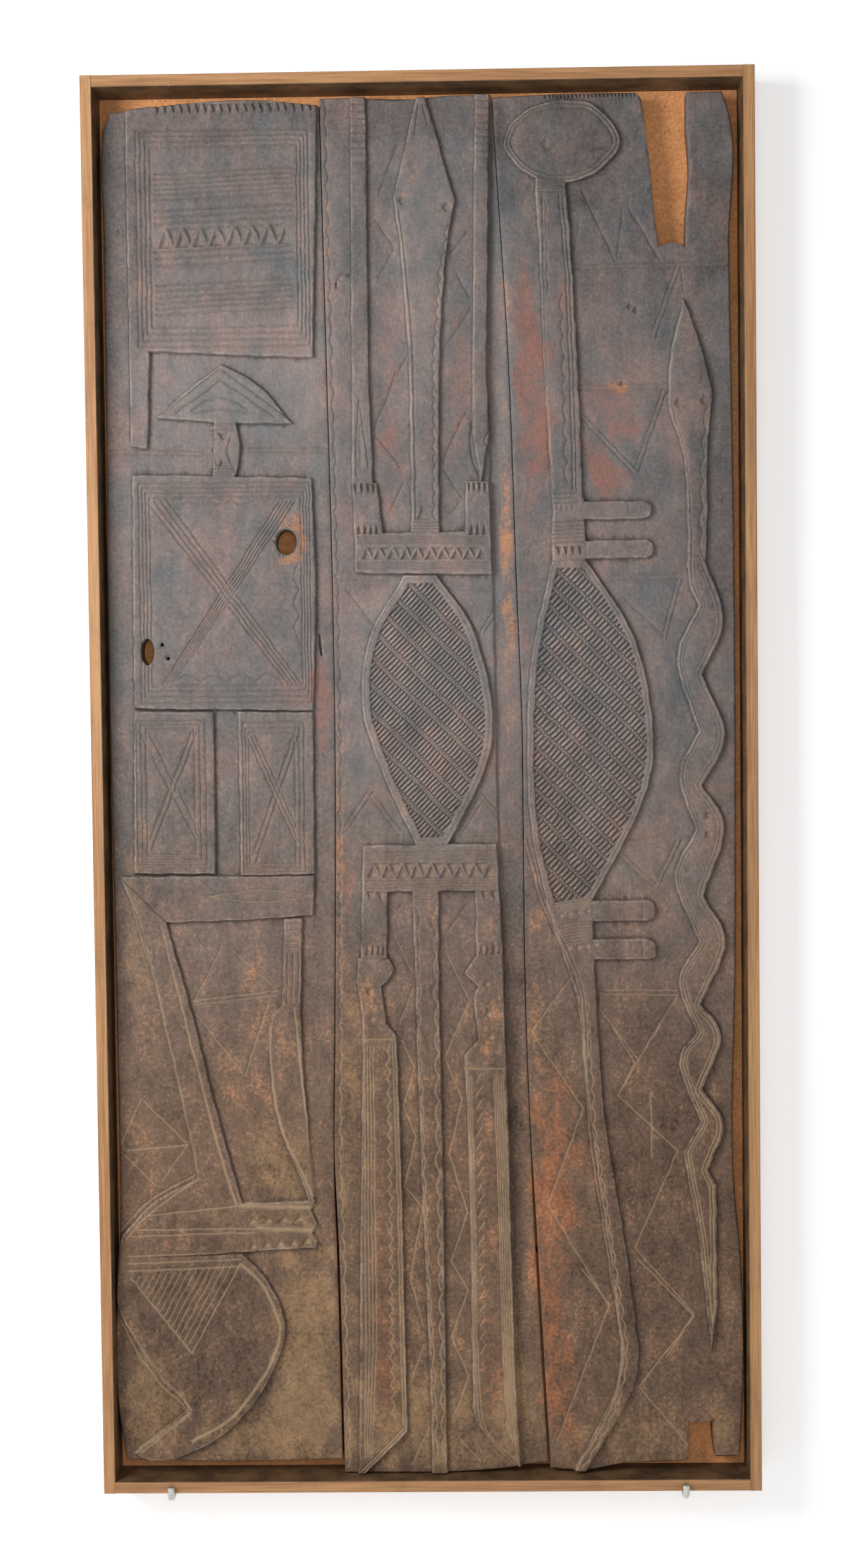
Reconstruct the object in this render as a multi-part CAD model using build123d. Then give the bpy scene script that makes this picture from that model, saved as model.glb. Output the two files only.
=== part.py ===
from build123d import *
import math
import os

# Carved wooden door leaf in a shallow wall tray.
# Millimetres. X runs to the right across the door, Z runs up, Y runs back to the wall.
# The origin is the centre of the back face, on the wall.

# Door leaf: three hewn planks side by side
LEAF_WIDTH = 806.0
LEAF_HEIGHT = 1772.0
PLANK_THICKNESS = 34.0
RELIEF_HEIGHT = 7.0
RELIEF_ROOT = 1.0
FIELD_DEPTH = 3.0
LEAF_RIM = 8.0
SEAM_GAP = 1.0
TROUGH_DEPTH = 4.0

# Holes worn through the left plank
LATCH_HOLE_WIDTH = 27.0
LATCH_HOLE_HEIGHT = 33.0
CORD_HOLE_WIDTH = 18.0
CORD_HOLE_HEIGHT = 34.0
PEG_HOLE_RADIUS = 2.4
SPLIT_HOLE_WIDTH = 4.0
SPLIT_HOLE_HEIGHT = 26.0

# Carved figures that have a size of their own
FAN_WIDTH = 148.0
FAN_HEIGHT = 105.0
PEG_LENGTH = 86.0
PEG_WIDTH = 25.0
LARGE_BAND_WIDTH = 17.0
SMALL_BAND_WIDTH = 9.0
BAND_DEPTH = 1.5

# Wall tray
SIDE_GAP = 7.0
TOP_GAP = 10.0
FOOT_GAP = 3.0
STRIP_THICKNESS = 15.0
TRAY_DEPTH = 75.0
REBATE_WIDTH = 7.0
EDGE_SOFTENING = 1.0
BOARD_THICKNESS = 9.0
BOARD_CLEARANCE = 0.3
CORK_THICKNESS = 5.0
CORK_CLEARANCE = 0.3

# Screws; small round things are drawn with eight flats
SMALL_ROUND_SIDES = 8
HOLE_CLEARANCE = 0.1
CORNER_SCREW_RADIUS = 2.0
CORNER_SCREW_LENGTH = 45.0
CORNER_SCREW_INSET = 20.0
BOARD_SCREW_RADIUS = 1.75
BOARD_SCREW_LENGTH = 25.0
BOARD_SCREW_END_INSET = 95.0
STILE_SCREW_COUNT = 4
RAIL_SCREW_COUNT = 2
DOOR_SCREW_RADIUS = 2.5
DOOR_SCREW_LENGTH = 40.0
HEAD_RADIUS_RATIO = 1.9
HEAD_ANGLE = 45.0
POINT_LENGTH_RATIO = 3.0
POINT_ANGLE = 16.0

# Forged staples across the seams, let into the back
STAPLE_SPAN = 70.0
STAPLE_WIDTH = 8.0
STAPLE_THICKNESS = 3.0
STAPLE_POINT_WIDTH = 1.0
STAPLE_LEG_LENGTH = 22.0
STAPLE_RECESS = 1.0
STAPLE_CLEARANCE = 0.3

# Wall hooks under the bottom rail
HOOK_INSET = 93.0
HOOK_OFFSET = -5.0
HOOK_RADIUS = 4.5
HOOK_BEND_RADIUS = 7.5
HOOK_SEAT_GAP = 0.3
HOOK_LIP_GAP = 2.0
HOOK_LIP_HEIGHT = 11.0
HOOK_SHANK_RADIUS = 4.0
HOOK_SHANK_LENGTH = 40.0
HOOK_CHAMFER = 0.8

# How far a cutter runs past the face it opens
OVERRUN = 5.0

# Worked-out sizes
INNER_WIDTH = LEAF_WIDTH + 2 * SIDE_GAP
INNER_HEIGHT = LEAF_HEIGHT + TOP_GAP + FOOT_GAP
OUTER_WIDTH = INNER_WIDTH + 2 * STRIP_THICKNESS
OUTER_HEIGHT = INNER_HEIGHT + 2 * STRIP_THICKNESS
LEAF_FOOT_Z = FOOT_GAP - INNER_HEIGHT / 2
CORK_FACE_Y = -BOARD_THICKNESS - CORK_THICKNESS
GROUND_Y = CORK_FACE_Y - PLANK_THICKNESS
FACE_Y = GROUND_Y - RELIEF_HEIGHT
STAPLE_OUTER_Y = CORK_FACE_Y - STAPLE_RECESS
STAPLE_INNER_Y = STAPLE_OUTER_Y - STAPLE_THICKNESS

# Places on the leaf are shares of its width from the left and of its height from the foot.
# In an outline the first entry is the start; a step of one point is a line, of two an arc, of more a curve.
LEFT_SEAM_SHARES = (
    (0.346, 0.998), (0.352, 0.813), (0.357, 0.659), (0.358, 0.541),
    (0.352, 0.331), (0.348, 0.226), (0.352, 0.164), (0.357, 0.004),
)
RIGHT_SEAM_SHARES = (
    (0.618, 0.998), (0.641, 0.804), (0.650, 0.650), (0.657, 0.539),
    (0.657, 0.476), (0.658, 0.349), (0.680, 0.085), (0.689, 0.004),
)
LATCH_HOLE_SHARES = (0.285, 0.682)
CORD_HOLE_SHARES = (0.061, 0.604)
PEG_HOLE_SHARES = ((0.085, 0.609), (0.094, 0.599))
SPLIT_HOLE_SHARES = (0.336, 0.607)
DOOR_SCREW_ACROSS_SHARES = (0.18, 0.49, 0.83)
DOOR_SCREW_UP_SHARES = (0.12, 0.45, 0.86)
STAPLE_HEIGHT_SHARES = (0.16, 0.66)
FAN_SHARES = (0.727, 0.9655)
PEG_SHARES = ((0.755, 0.702), (0.759, 0.674), (0.765, 0.413), (0.765, 0.384))
LARGE_BAND_SHARES = (((0.287, 0.712), (0.093, 0.580)), ((0.081, 0.713), (0.298, 0.579)))
SMALL_BAND_SHARES = (
    ((0.051, 0.548), (0.146, 0.466)), ((0.138, 0.547), (0.056, 0.459)),
    ((0.222, 0.546), (0.306, 0.461)), ((0.296, 0.543), (0.224, 0.448)),
)

# Outline of each plank; the sides along a seam are cut afterwards
LEFT_PLANK_SHARES = (
    (0.40, 0.989), ((0.345, 0.991), (0.24, 0.995), (0.12, 0.993), (0.02, 0.989)),
    ((0.005, 0.985), (0.001, 0.975)), ((0.001, 0.76), (-0.002, 0.60), (0.001, 0.39), (0.001, 0.022)),
    ((0.006, 0.012), (0.02, 0.009)), ((0.11, 0.008),), ((0.40, 0.009),),
)
MIDDLE_PLANK_SHARES = (
    (0.30, 0.997), ((0.30, -0.001),), ((0.375, -0.001),), ((0.39, -0.0015),), ((0.405, 0.0),),
    ((0.53, -0.001),), ((0.645, 0.003),), ((0.72, 0.007),), ((0.72, 0.998),), ((0.55, 0.998),),
    ((0.47, 0.9955),),
)
RIGHT_PLANK_SHARES = (
    (0.58, 0.997), ((0.62, 0.998),), ((0.73, 1.0),), ((0.845, 1.0),), ((0.853, 0.995),),
    ((0.866, 0.946), (0.872, 0.915), (0.879, 0.890)), ((0.900, 0.893), (0.922, 0.890)),
    ((0.924, 0.915), (0.929, 0.945), (0.925, 0.975)), ((0.925, 1.0),), ((0.978, 1.0),), ((0.986, 0.992),),
    ((0.990, 0.89), (0.996, 0.75), (0.997, 0.5)), ((0.992, 0.19),), ((0.998, 0.16),), ((0.999, 0.020),),
    ((0.996, 0.012), (0.986, 0.010)), ((0.966, 0.010),), ((0.957, 0.012), (0.955, 0.018)), ((0.953, 0.036),),
    ((0.914, 0.035),), ((0.913, 0.007),), ((0.80, 0.004),), ((0.75, 0.0),), ((0.72, 0.0),), ((0.685, 0.002),),
    ((0.58, 0.002),),
)

# Figures of the left plank, from the top
LEFT_FIGURE_SHARES = {
    "writing board": (
        (0.039, 1.0), ((0.343, 1.0),), ((0.331, 0.814),), ((0.072, 0.820),), ((0.067, 0.750),),
        ((0.040, 0.752),),
    ),
    "sunshade": (
        (0.187, 0.810), ((0.136, 0.794), (0.081, 0.772)), ((0.173, 0.769),), ((0.169, 0.728),),
        ((0.205, 0.728),),
        ((0.214, 0.748), (0.208, 0.768)), ((0.298, 0.767),), ((0.246, 0.794), (0.187, 0.810)),
    ),
    "large panel": (
        (0.041, 0.732), ((0.326, 0.728),), ((0.331, 0.65), (0.324, 0.560)), ((0.038, 0.563),),
    ),
    "left panel": ((0.038, 0.561), ((0.165, 0.560),), ((0.165, 0.442),), ((0.034, 0.443),)),
    "right panel": ((0.204, 0.560), ((0.324, 0.559),), ((0.323, 0.441),), ((0.205, 0.441),)),
    "foot bar": ((0.010, 0.441), ((0.322, 0.440),), ((0.320, 0.411),), ((0.200, 0.408),), ((0.084, 0.407),)),
    "leg": (
        (0.010, 0.441), ((0.047, 0.396), (0.095, 0.297), (0.131, 0.219)), ((0.134, 0.200),),
        ((0.199, 0.200),),
        ((0.160, 0.269), (0.124, 0.339), (0.084, 0.407)),
    ),
    "column": ((0.273, 0.409), ((0.302, 0.409),), ((0.298, 0.344),), ((0.268, 0.344),)),
    "scabbard": (
        (0.268, 0.345), ((0.248, 0.330), (0.255, 0.267), (0.308, 0.201)), ((0.3155, 0.201),),
        ((0.305, 0.267), (0.299, 0.314), (0.298, 0.345)),
    ),
    "collar": (
        (0.131, 0.219), ((0.060, 0.203), (0.005, 0.178)), ((-0.01, 0.159),), ((0.317, 0.167),),
        ((0.320, 0.172),),
        ((0.312, 0.178),), ((0.320, 0.185),), ((0.310, 0.195),), ((0.318, 0.203),), ((0.199, 0.200),),
    ),
    "axe blade": (
        (-0.01, 0.160), ((0.197, 0.163),),
        ((0.240, 0.142), (0.266, 0.105), (0.226, 0.060), (0.161, 0.028), (0.085, 0.010)),
        ((0.045, 0.009),), ((0.017, 0.016),), ((0.110, 0.047),), ((0.034, 0.092),),
        ((0.006, 0.112), (-0.01, 0.135)),
    ),
}

# Figures of the middle plank, from the top
MIDDLE_FIGURE_SHARES = {
    "left shaft": (
        (0.395, 1.0), ((0.419, 1.0),), ((0.419, 0.805),), ((0.424, 0.724),), ((0.390, 0.724),),
        ((0.392, 0.805),),
    ),
    "right shaft": (
        (0.591, 1.0), ((0.614, 1.0),), ((0.605, 0.804),), ((0.609, 0.758),), ((0.595, 0.722),),
        ((0.582, 0.757),), ((0.586, 0.879),),
    ),
    "sword": (
        (0.500, 1.0), ((0.512, 1.0),), ((0.558, 0.925),), ((0.542, 0.882), (0.531, 0.80), (0.528, 0.686)),
        ((0.484, 0.686),), ((0.483, 0.80), (0.473, 0.882), (0.461, 0.927)),
    ),
    "upper bracket": (
        (0.391, 0.725), ((0.430, 0.724),), ((0.439, 0.688),), ((0.569, 0.688),), ((0.570, 0.724),),
        ((0.608, 0.724),), ((0.611, 0.657),), ((0.394, 0.659),),
    ),
    "lower bracket": (
        (0.400, 0.462), ((0.614, 0.462),), ((0.617, 0.428),), ((0.625, 0.379),), ((0.579, 0.379),),
        ((0.579, 0.428),), ((0.439, 0.428),), ((0.437, 0.379),), ((0.395, 0.379),),
    ),
    "ringed strip": (
        (0.479, 0.429), ((0.521, 0.429),), ((0.520, 0.349), (0.523, 0.221), (0.525, -0.01)),
        ((0.501, -0.01),),
        ((0.497, 0.085), (0.488, 0.221), (0.479, 0.429)),
    ),
    "left scabbard": (
        (0.390, 0.380), ((0.440, 0.379),), ((0.447, 0.371), (0.437, 0.362)), ((0.428, 0.359),),
        ((0.435, 0.332),),
        ((0.450, 0.323),), ((0.451, 0.317),), ((0.455, 0.257), (0.458, 0.162), (0.461, 0.030)),
        ((0.392, -0.001),), ((0.380, -0.01),), ((0.382, 0.010),),
        ((0.388, 0.163), (0.396, 0.318), (0.388, 0.362)),
    ),
    "right scabbard": (
        (0.578, 0.380), ((0.625, 0.380),), ((0.623, 0.349), (0.628, 0.268), (0.636, 0.085), (0.643, 0.002)),
        ((0.591, 0.026),), ((0.572, 0.036), (0.566, 0.048)),
        ((0.567, 0.085), (0.565, 0.235), (0.559, 0.304)),
        ((0.559, 0.308),), ((0.582, 0.320),), ((0.575, 0.349), (0.582, 0.358)), ((0.558, 0.368),),
    ),
}
# The leaves are drawn in arcs, so that the rim keeps one width all round
MIDDLE_LEAF_SHARES = (
    (0.471, 0.657), ((0.523, 0.657),), ((0.579, 0.619), (0.610, 0.561)), ((0.590, 0.508), (0.537, 0.462)),
    ((0.486, 0.461),), ((0.429, 0.519), (0.402, 0.565)), ((0.415, 0.613), (0.471, 0.657)),
)
TROUGH_SHARES = (
    (0.615, 0.99), ((0.607, 0.80), (0.612, 0.66), (0.617, 0.45), (0.629, 0.268), (0.646, -0.01)),
    ((0.75, -0.01),), ((0.75, 0.99),),
)

# Figures of the right plank, from the top
RIGHT_FIGURE_SHARES = {
    "fan blade": (
        (0.687, 0.945), ((0.731, 0.945),), ((0.740, 0.893), (0.750, 0.80), (0.756, 0.705)),
        ((0.708, 0.705),),
        ((0.699, 0.78), (0.692, 0.87), (0.685, 0.930)),
    ),
    "upper hilt": ((0.708, 0.712), ((0.757, 0.712),), ((0.761, 0.664),), ((0.706, 0.664),)),
    "sabre and its hilt": (
        (0.690, 0.421), ((0.766, 0.421),), ((0.768, 0.374),),
        ((0.776, 0.303), (0.785, 0.254), (0.816, 0.162), (0.835, 0.088)),
        ((0.831, 0.068),), ((0.808, 0.045),), ((0.749, 0.001),), ((0.742, -0.01),), ((0.730, 0.001),),
        ((0.792, 0.055),), ((0.806, 0.080), (0.806, 0.093)),
        ((0.791, 0.152), (0.761, 0.254), (0.742, 0.345)),
        ((0.722, 0.375),),
    ),
    "lozenge blade": (
        (0.917, 0.853), ((0.943, 0.820), (0.962, 0.786)), ((0.953, 0.737), (0.953, 0.70), (0.949, 0.660)),
        ((0.920, 0.660),), ((0.921, 0.70), (0.916, 0.74), (0.892, 0.775)), ((0.895, 0.81), (0.917, 0.853)),
    ),
    # A chain of bulges down each side, with sharp notches between them, and a straight tail
    "snake": (
        (0.946, 0.672), ((0.921, 0.672),), ((0.923, 0.646),), ((0.938, 0.633),),
        ((0.903, 0.595), (0.936, 0.542)),
        ((0.905, 0.511), (0.931, 0.471)), ((0.897, 0.436), (0.935, 0.390)),
        ((0.902, 0.360), (0.930, 0.324)),
        ((0.902, 0.301), (0.935, 0.258)), ((0.907, 0.236),), ((0.930, 0.177),), ((0.938, 0.144),),
        ((0.951, 0.088),), ((0.961, 0.118),), ((0.961, 0.211),), ((0.948, 0.223),),
        ((0.973, 0.256), (0.939, 0.282)),
        ((0.970, 0.320), (0.938, 0.344)), ((0.978, 0.389), (0.943, 0.423)),
        ((0.977, 0.472), (0.942, 0.503)),
        ((0.979, 0.539), (0.943, 0.583)), ((0.977, 0.622), (0.946, 0.669)),
    ),
}
RIGHT_LEAF_SHARES = (
    (0.706, 0.666), ((0.762, 0.666),), ((0.838, 0.608), (0.865, 0.539)), ((0.846, 0.490), (0.765, 0.419)),
    ((0.697, 0.413),), ((0.672, 0.465), (0.664, 0.520)), ((0.672, 0.595), (0.706, 0.666)),
)


def place(across_share, up_share):
    """A point of the leaf's face from its shares of width and height."""
    return ((across_share - 0.5) * LEAF_WIDTH, LEAF_FOOT_Z + up_share * LEAF_HEIGHT)


def facing(y):
    """A plane parallel to the wall that looks out of it, with X to the right and Z up."""
    return Plane(origin=(0, y, 0), x_dir=(1, 0, 0), z_dir=(0, -1, 0))


def chain(start, *steps, shift=0):
    """Edges through shares: a step of one point is a line, of two an arc, of more a smooth curve."""
    def spot(share):
        x, z = place(*share)
        return (x + shift, z)

    edges = []
    here = spot(start)
    for step in steps:
        points = [spot(share) for share in step]
        if len(points) == 1:
            edges.append(Line(here, points[0]))
        elif len(points) == 2:
            edges.append(ThreePointArc(here, *points))
        else:
            edges.append(Spline(here, *points))
        here = points[-1]
    return edges, here


def outline(start, *steps):
    """A closed face from a chain of steps, closed by a straight edge if the chain ends elsewhere."""
    edges, end = chain(start, *steps)
    first = place(*start)
    if math.dist(first, end) > 0:
        edges.append(Line(end, first))
    return make_face(edges)


def raised(face):
    """A figure of the carving: it stands proud of the ground and is rooted in it."""
    return extrude(facing(GROUND_Y + RELIEF_ROOT) * face, RELIEF_HEIGHT + RELIEF_ROOT)


def field(leaf):
    """A cutter that sinks the field of a leaf inside its rim."""
    return extrude(facing(FACE_Y + FIELD_DEPTH) * offset(leaf, -LEAF_RIM), FIELD_DEPTH + OVERRUN)


def band(start_share, end_share, width):
    """A cutter of a shallow straight band across a panel, where a group of fine grooves runs."""
    start_x, start_z = place(*start_share)
    end_x, end_z = place(*end_share)
    length = math.hypot(end_x - start_x, end_z - start_z)
    turn = math.degrees(math.atan2(end_z - start_z, end_x - start_x))
    middle = Pos((start_x + end_x) / 2, (start_z + end_z) / 2) * Rot(0, 0, turn)
    return extrude(facing(FACE_Y + BAND_DEPTH) * (middle * Rectangle(length, width)), BAND_DEPTH + OVERRUN)


def trough():
    """The hollow down the right margin of the middle plank, wider towards the foot."""
    depth = TROUGH_DEPTH + RELIEF_HEIGHT + OVERRUN
    return extrude(facing(GROUND_Y + TROUGH_DEPTH) * outline(*TROUGH_SHARES), depth)


def bored(shape, centre):
    """A cutter of a flat shape right through a plank, at a place of the leaf."""
    x, z = place(*centre)
    depth = PLANK_THICKNESS + RELIEF_HEIGHT + 2 * OVERRUN
    return extrude(facing(CORK_FACE_Y + OVERRUN) * (Pos(x, z) * shape), depth)


def plank(face, figures, cutters):
    """A hewn plank: a slab with its figures standing on it, trimmed to its own edges."""
    slab = extrude(facing(CORK_FACE_Y) * face, PLANK_THICKNESS)
    trim = extrude(facing(CORK_FACE_Y) * face, PLANK_THICKNESS + RELIEF_HEIGHT)
    carving = Part() + [raised(figure) for figure in figures]
    body = slab + (carving & trim)
    for cutter in cutters:
        body -= cutter
    return body


def beside(shares, side):
    """Everything on one side of a seam, half the gap away from it and out past the leaf's edge."""
    shift = side * SEAM_GAP / 2
    edges, foot = chain(shares[0], shares[1:], shift=shift)
    top_x, top_z = place(*shares[0])
    far_x = side * LEAF_WIDTH
    far_z = LEAF_HEIGHT
    corners = Polyline(
        foot, (foot[0], -far_z), (far_x, -far_z), (far_x, far_z),
        (top_x + shift, far_z), (top_x + shift, top_z),
    )
    return make_face(edges + [corners])


def peg(start_share, up_share):
    """One of the round-ended pegs that stick out of a hilt, to the right."""
    x, z = place(start_share, up_share)
    half = PEG_WIDTH / 2
    end = x + PEG_LENGTH - half
    return make_face([
        Line((x, z + half), (end, z + half)),
        ThreePointArc((end, z + half), (end + half, z), (end, z - half)),
        Polyline((end, z - half), (x, z - half), (x, z + half)),
    ])


def screw(radius, length, clearance=0):
    """A countersunk wood screw along +Z in eight flats: a flat head at the origin, a shank and a point."""
    head = radius * HEAD_RADIUS_RATIO
    point = radius * POINT_LENGTH_RATIO
    head_face = RegularPolygon(head + clearance, SMALL_ROUND_SIDES, major_radius=False)
    shank_face = RegularPolygon(radius + clearance, SMALL_ROUND_SIDES, major_radius=False)
    point_face = Pos(0, 0, length + clearance - point) * shank_face
    shank = extrude(shank_face, length + clearance - point)
    shank += extrude(head_face, head - radius, taper=HEAD_ANGLE)
    return shank + extrude(point_face, point, taper=POINT_ANGLE)


def corner_screw_places():
    """Two screws through each end of each stile into the end of the rail."""
    places = []
    for side in (-1, 1):
        for end in (-1, 1):
            z = end * (INNER_HEIGHT + STRIP_THICKNESS) / 2
            for y in (-BOARD_THICKNESS - CORNER_SCREW_INSET, CORNER_SCREW_INSET - TRAY_DEPTH):
                places.append(Plane(origin=(side * OUTER_WIDTH / 2, y, z), z_dir=(-side, 0, 0)))
    return places


def spread(length, count):
    """Places along a length, evenly spaced and kept off its ends."""
    reach = length / 2 - BOARD_SCREW_END_INSET
    return [reach * (2 * index / (count - 1) - 1) for index in range(count)]


def board_screw_places():
    """Screws round the edge of the backing board, into the floor of the tray's rebate."""
    across = (INNER_WIDTH + REBATE_WIDTH) / 2
    up = (INNER_HEIGHT + REBATE_WIDTH) / 2
    places = []
    for side in (-1, 1):
        places += [(side * across, z) for z in spread(INNER_HEIGHT, STILE_SCREW_COUNT)]
        places += [(x, side * up) for x in spread(INNER_WIDTH, RAIL_SCREW_COUNT)]
    return [Plane(origin=(x, 0, z), z_dir=(0, -1, 0)) for x, z in places]


def door_screw_places():
    """Screws from behind, through the board and the cork, into the planks."""
    places = [place(across, up) for across in DOOR_SCREW_ACROSS_SHARES for up in DOOR_SCREW_UP_SHARES]
    return [Plane(origin=(x, 0, z), z_dir=(0, -1, 0)) for x, z in places]


def screws(planes, radius, length, clearance=0):
    """The same screw at many places; with a clearance, the holes for them."""
    return [plane * screw(radius, length, clearance) for plane in planes]


def staple_profile():
    """A staple seen from above: a flat crown and two legs that taper to blunt points."""
    half = STAPLE_SPAN / 2
    tip = STAPLE_INNER_Y - STAPLE_LEG_LENGTH
    return make_face(Polyline(
        (-half, STAPLE_OUTER_Y), (half, STAPLE_OUTER_Y), (half, tip), (half - STAPLE_POINT_WIDTH, tip),
        (half - STAPLE_THICKNESS, STAPLE_INNER_Y), (STAPLE_THICKNESS - half, STAPLE_INNER_Y),
        (STAPLE_POINT_WIDTH - half, tip), (-half, tip), (-half, STAPLE_OUTER_Y),
    ))


def staple(x, z):
    """A forged iron staple across a seam."""
    return Pos(x, 0, z - STAPLE_WIDTH / 2) * extrude(staple_profile(), STAPLE_WIDTH)


def staple_slot(x, z):
    """The recess of a staple: a little larger all round, and open at the back of the planks."""
    width = STAPLE_WIDTH + 2 * STAPLE_CLEARANCE
    half = STAPLE_SPAN / 2 + STAPLE_CLEARANCE
    mouth = make_face(Polyline(
        (-half, STAPLE_INNER_Y), (half, STAPLE_INNER_Y), (half, CORK_FACE_Y + OVERRUN),
        (-half, CORK_FACE_Y + OVERRUN), (-half, STAPLE_INNER_Y),
    ))
    profile = offset(staple_profile(), STAPLE_CLEARANCE, kind=Kind.INTERSECTION) + mouth
    return Pos(x, 0, z - width / 2) * extrude(profile, width)


def seam_places(shares):
    """Where the staples of a seam sit: on the straight line between its nearest two points."""
    places = []
    for up in STAPLE_HEIGHT_SHARES:
        for (across_a, up_a), (across_b, up_b) in zip(shares, shares[1:]):
            if up_b <= up < up_a:
                part = (up - up_a) / (up_b - up_a)
                places.append(place(across_a + part * (across_b - across_a), up))
    return places


def strip(length):
    """A tray strip along X: its front at the tray's front, the front edges softened."""
    body = Box(length, TRAY_DEPTH, STRIP_THICKNESS, align=(Align.CENTER, Align.MAX, Align.CENTER))
    return chamfer(body.edges().filter_by(Axis.X).group_by(Axis.Y)[0], EDGE_SOFTENING)


def rebate(length):
    """The cutter of the board's rebate, along the back lower edge of a strip."""
    box = Box(length, BOARD_THICKNESS, REBATE_WIDTH, align=(Align.CENTER, Align.MAX, Align.MIN))
    return Pos(0, 0, -STRIP_THICKNESS / 2) * box


def rail(side):
    """The top rail, or the bottom rail turned over: both butt between the stiles."""
    turn = Rot(0, 90 - 90 * side, 0)
    lift = Pos(0, 0, side * (INNER_HEIGHT + STRIP_THICKNESS) / 2)
    return lift * turn * (strip(INNER_WIDTH) - rebate(INNER_WIDTH))


def stile(side):
    """A stile: it runs the whole height, and its rebate stops where the board ends."""
    shift = Pos(side * (INNER_WIDTH + STRIP_THICKNESS) / 2, 0, 0)
    return shift * Rot(0, side * 90, 0) * (strip(OUTER_HEIGHT) - rebate(INNER_HEIGHT + 2 * REBATE_WIDTH))


def back_panel(clearance, overlap, thickness, back_y):
    """A flat board that fills the tray, or laps into its rebate, with its back at a depth."""
    width = INNER_WIDTH + 2 * (overlap - clearance)
    height = INNER_HEIGHT + 2 * (overlap - clearance)
    return Pos(0, back_y, 0) * Box(width, thickness, height, align=(Align.CENTER, Align.MAX, Align.CENTER))


def hook(side):
    """A bent rod: an arm under the tray, an upright lip in front, and a thinner shank for the wall plug."""
    x = HOOK_OFFSET + side * (OUTER_WIDTH / 2 - HOOK_INSET)
    arm_z = -OUTER_HEIGHT / 2 - HOOK_SEAT_GAP - HOOK_RADIUS
    lip_y = -TRAY_DEPTH - HOOK_LIP_GAP - HOOK_RADIUS
    lip_z = HOOK_LIP_HEIGHT - OUTER_HEIGHT / 2
    wall_end = Plane(origin=(x, 0, arm_z), z_dir=(0, -1, 0))
    path = FilletPolyline((x, 0, arm_z), (x, lip_y, arm_z), (x, lip_y, lip_z), radius=HOOK_BEND_RADIUS)
    rod = sweep(wall_end * Circle(HOOK_RADIUS), path)
    rod = chamfer(rod.edges().group_by(Axis.Z)[-1], HOOK_CHAMFER)
    return rod + extrude(wall_end * Circle(HOOK_SHANK_RADIUS), -HOOK_SHANK_LENGTH)


def less(body, cutters):
    """A body with every cutter taken out of it."""
    for cutter in cutters:
        body -= cutter
    return body


def figures_of(table):
    """The faces of a table of outlines."""
    return [outline(*shares) for shares in table.values()]


def planks(door_holes, left_slots, right_slots):
    """The three planks of the leaf."""
    left_face = outline(*LEFT_PLANK_SHARES) & beside(LEFT_SEAM_SHARES, -1)
    middle_face = outline(*MIDDLE_PLANK_SHARES) & beside(LEFT_SEAM_SHARES, 1) & beside(RIGHT_SEAM_SHARES, -1)
    right_face = outline(*RIGHT_PLANK_SHARES) & beside(RIGHT_SEAM_SHARES, 1)
    middle_leaf = outline(*MIDDLE_LEAF_SHARES)
    right_leaf = outline(*RIGHT_LEAF_SHARES)
    fan = Pos(*place(*FAN_SHARES)) * Ellipse(FAN_WIDTH / 2, FAN_HEIGHT / 2)
    pegs = [peg(*share) for share in PEG_SHARES]
    peg_hole = RegularPolygon(PEG_HOLE_RADIUS, SMALL_ROUND_SIDES, major_radius=False)
    worn_holes = [bored(peg_hole, share) for share in PEG_HOLE_SHARES]
    worn_holes.append(bored(Rectangle(SPLIT_HOLE_WIDTH, SPLIT_HOLE_HEIGHT), SPLIT_HOLE_SHARES))
    worn_holes.append(bored(Ellipse(LATCH_HOLE_WIDTH / 2, LATCH_HOLE_HEIGHT / 2), LATCH_HOLE_SHARES))
    worn_holes.append(bored(Ellipse(CORD_HOLE_WIDTH / 2, CORD_HOLE_HEIGHT / 2), CORD_HOLE_SHARES))
    bands = [band(*ends, LARGE_BAND_WIDTH) for ends in LARGE_BAND_SHARES]
    bands += [band(*ends, SMALL_BAND_WIDTH) for ends in SMALL_BAND_SHARES]
    return {
        "plank_left": plank(
            left_face, figures_of(LEFT_FIGURE_SHARES), worn_holes + left_slots + door_holes + bands,
        ),
        "plank_middle": plank(
            middle_face, figures_of(MIDDLE_FIGURE_SHARES) + [middle_leaf],
            left_slots + right_slots + door_holes + [field(middle_leaf), trough()],
        ),
        "plank_right": plank(
            right_face, figures_of(RIGHT_FIGURE_SHARES) + pegs + [fan, right_leaf],
            right_slots + door_holes + [field(right_leaf)],
        ),
    }


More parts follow.
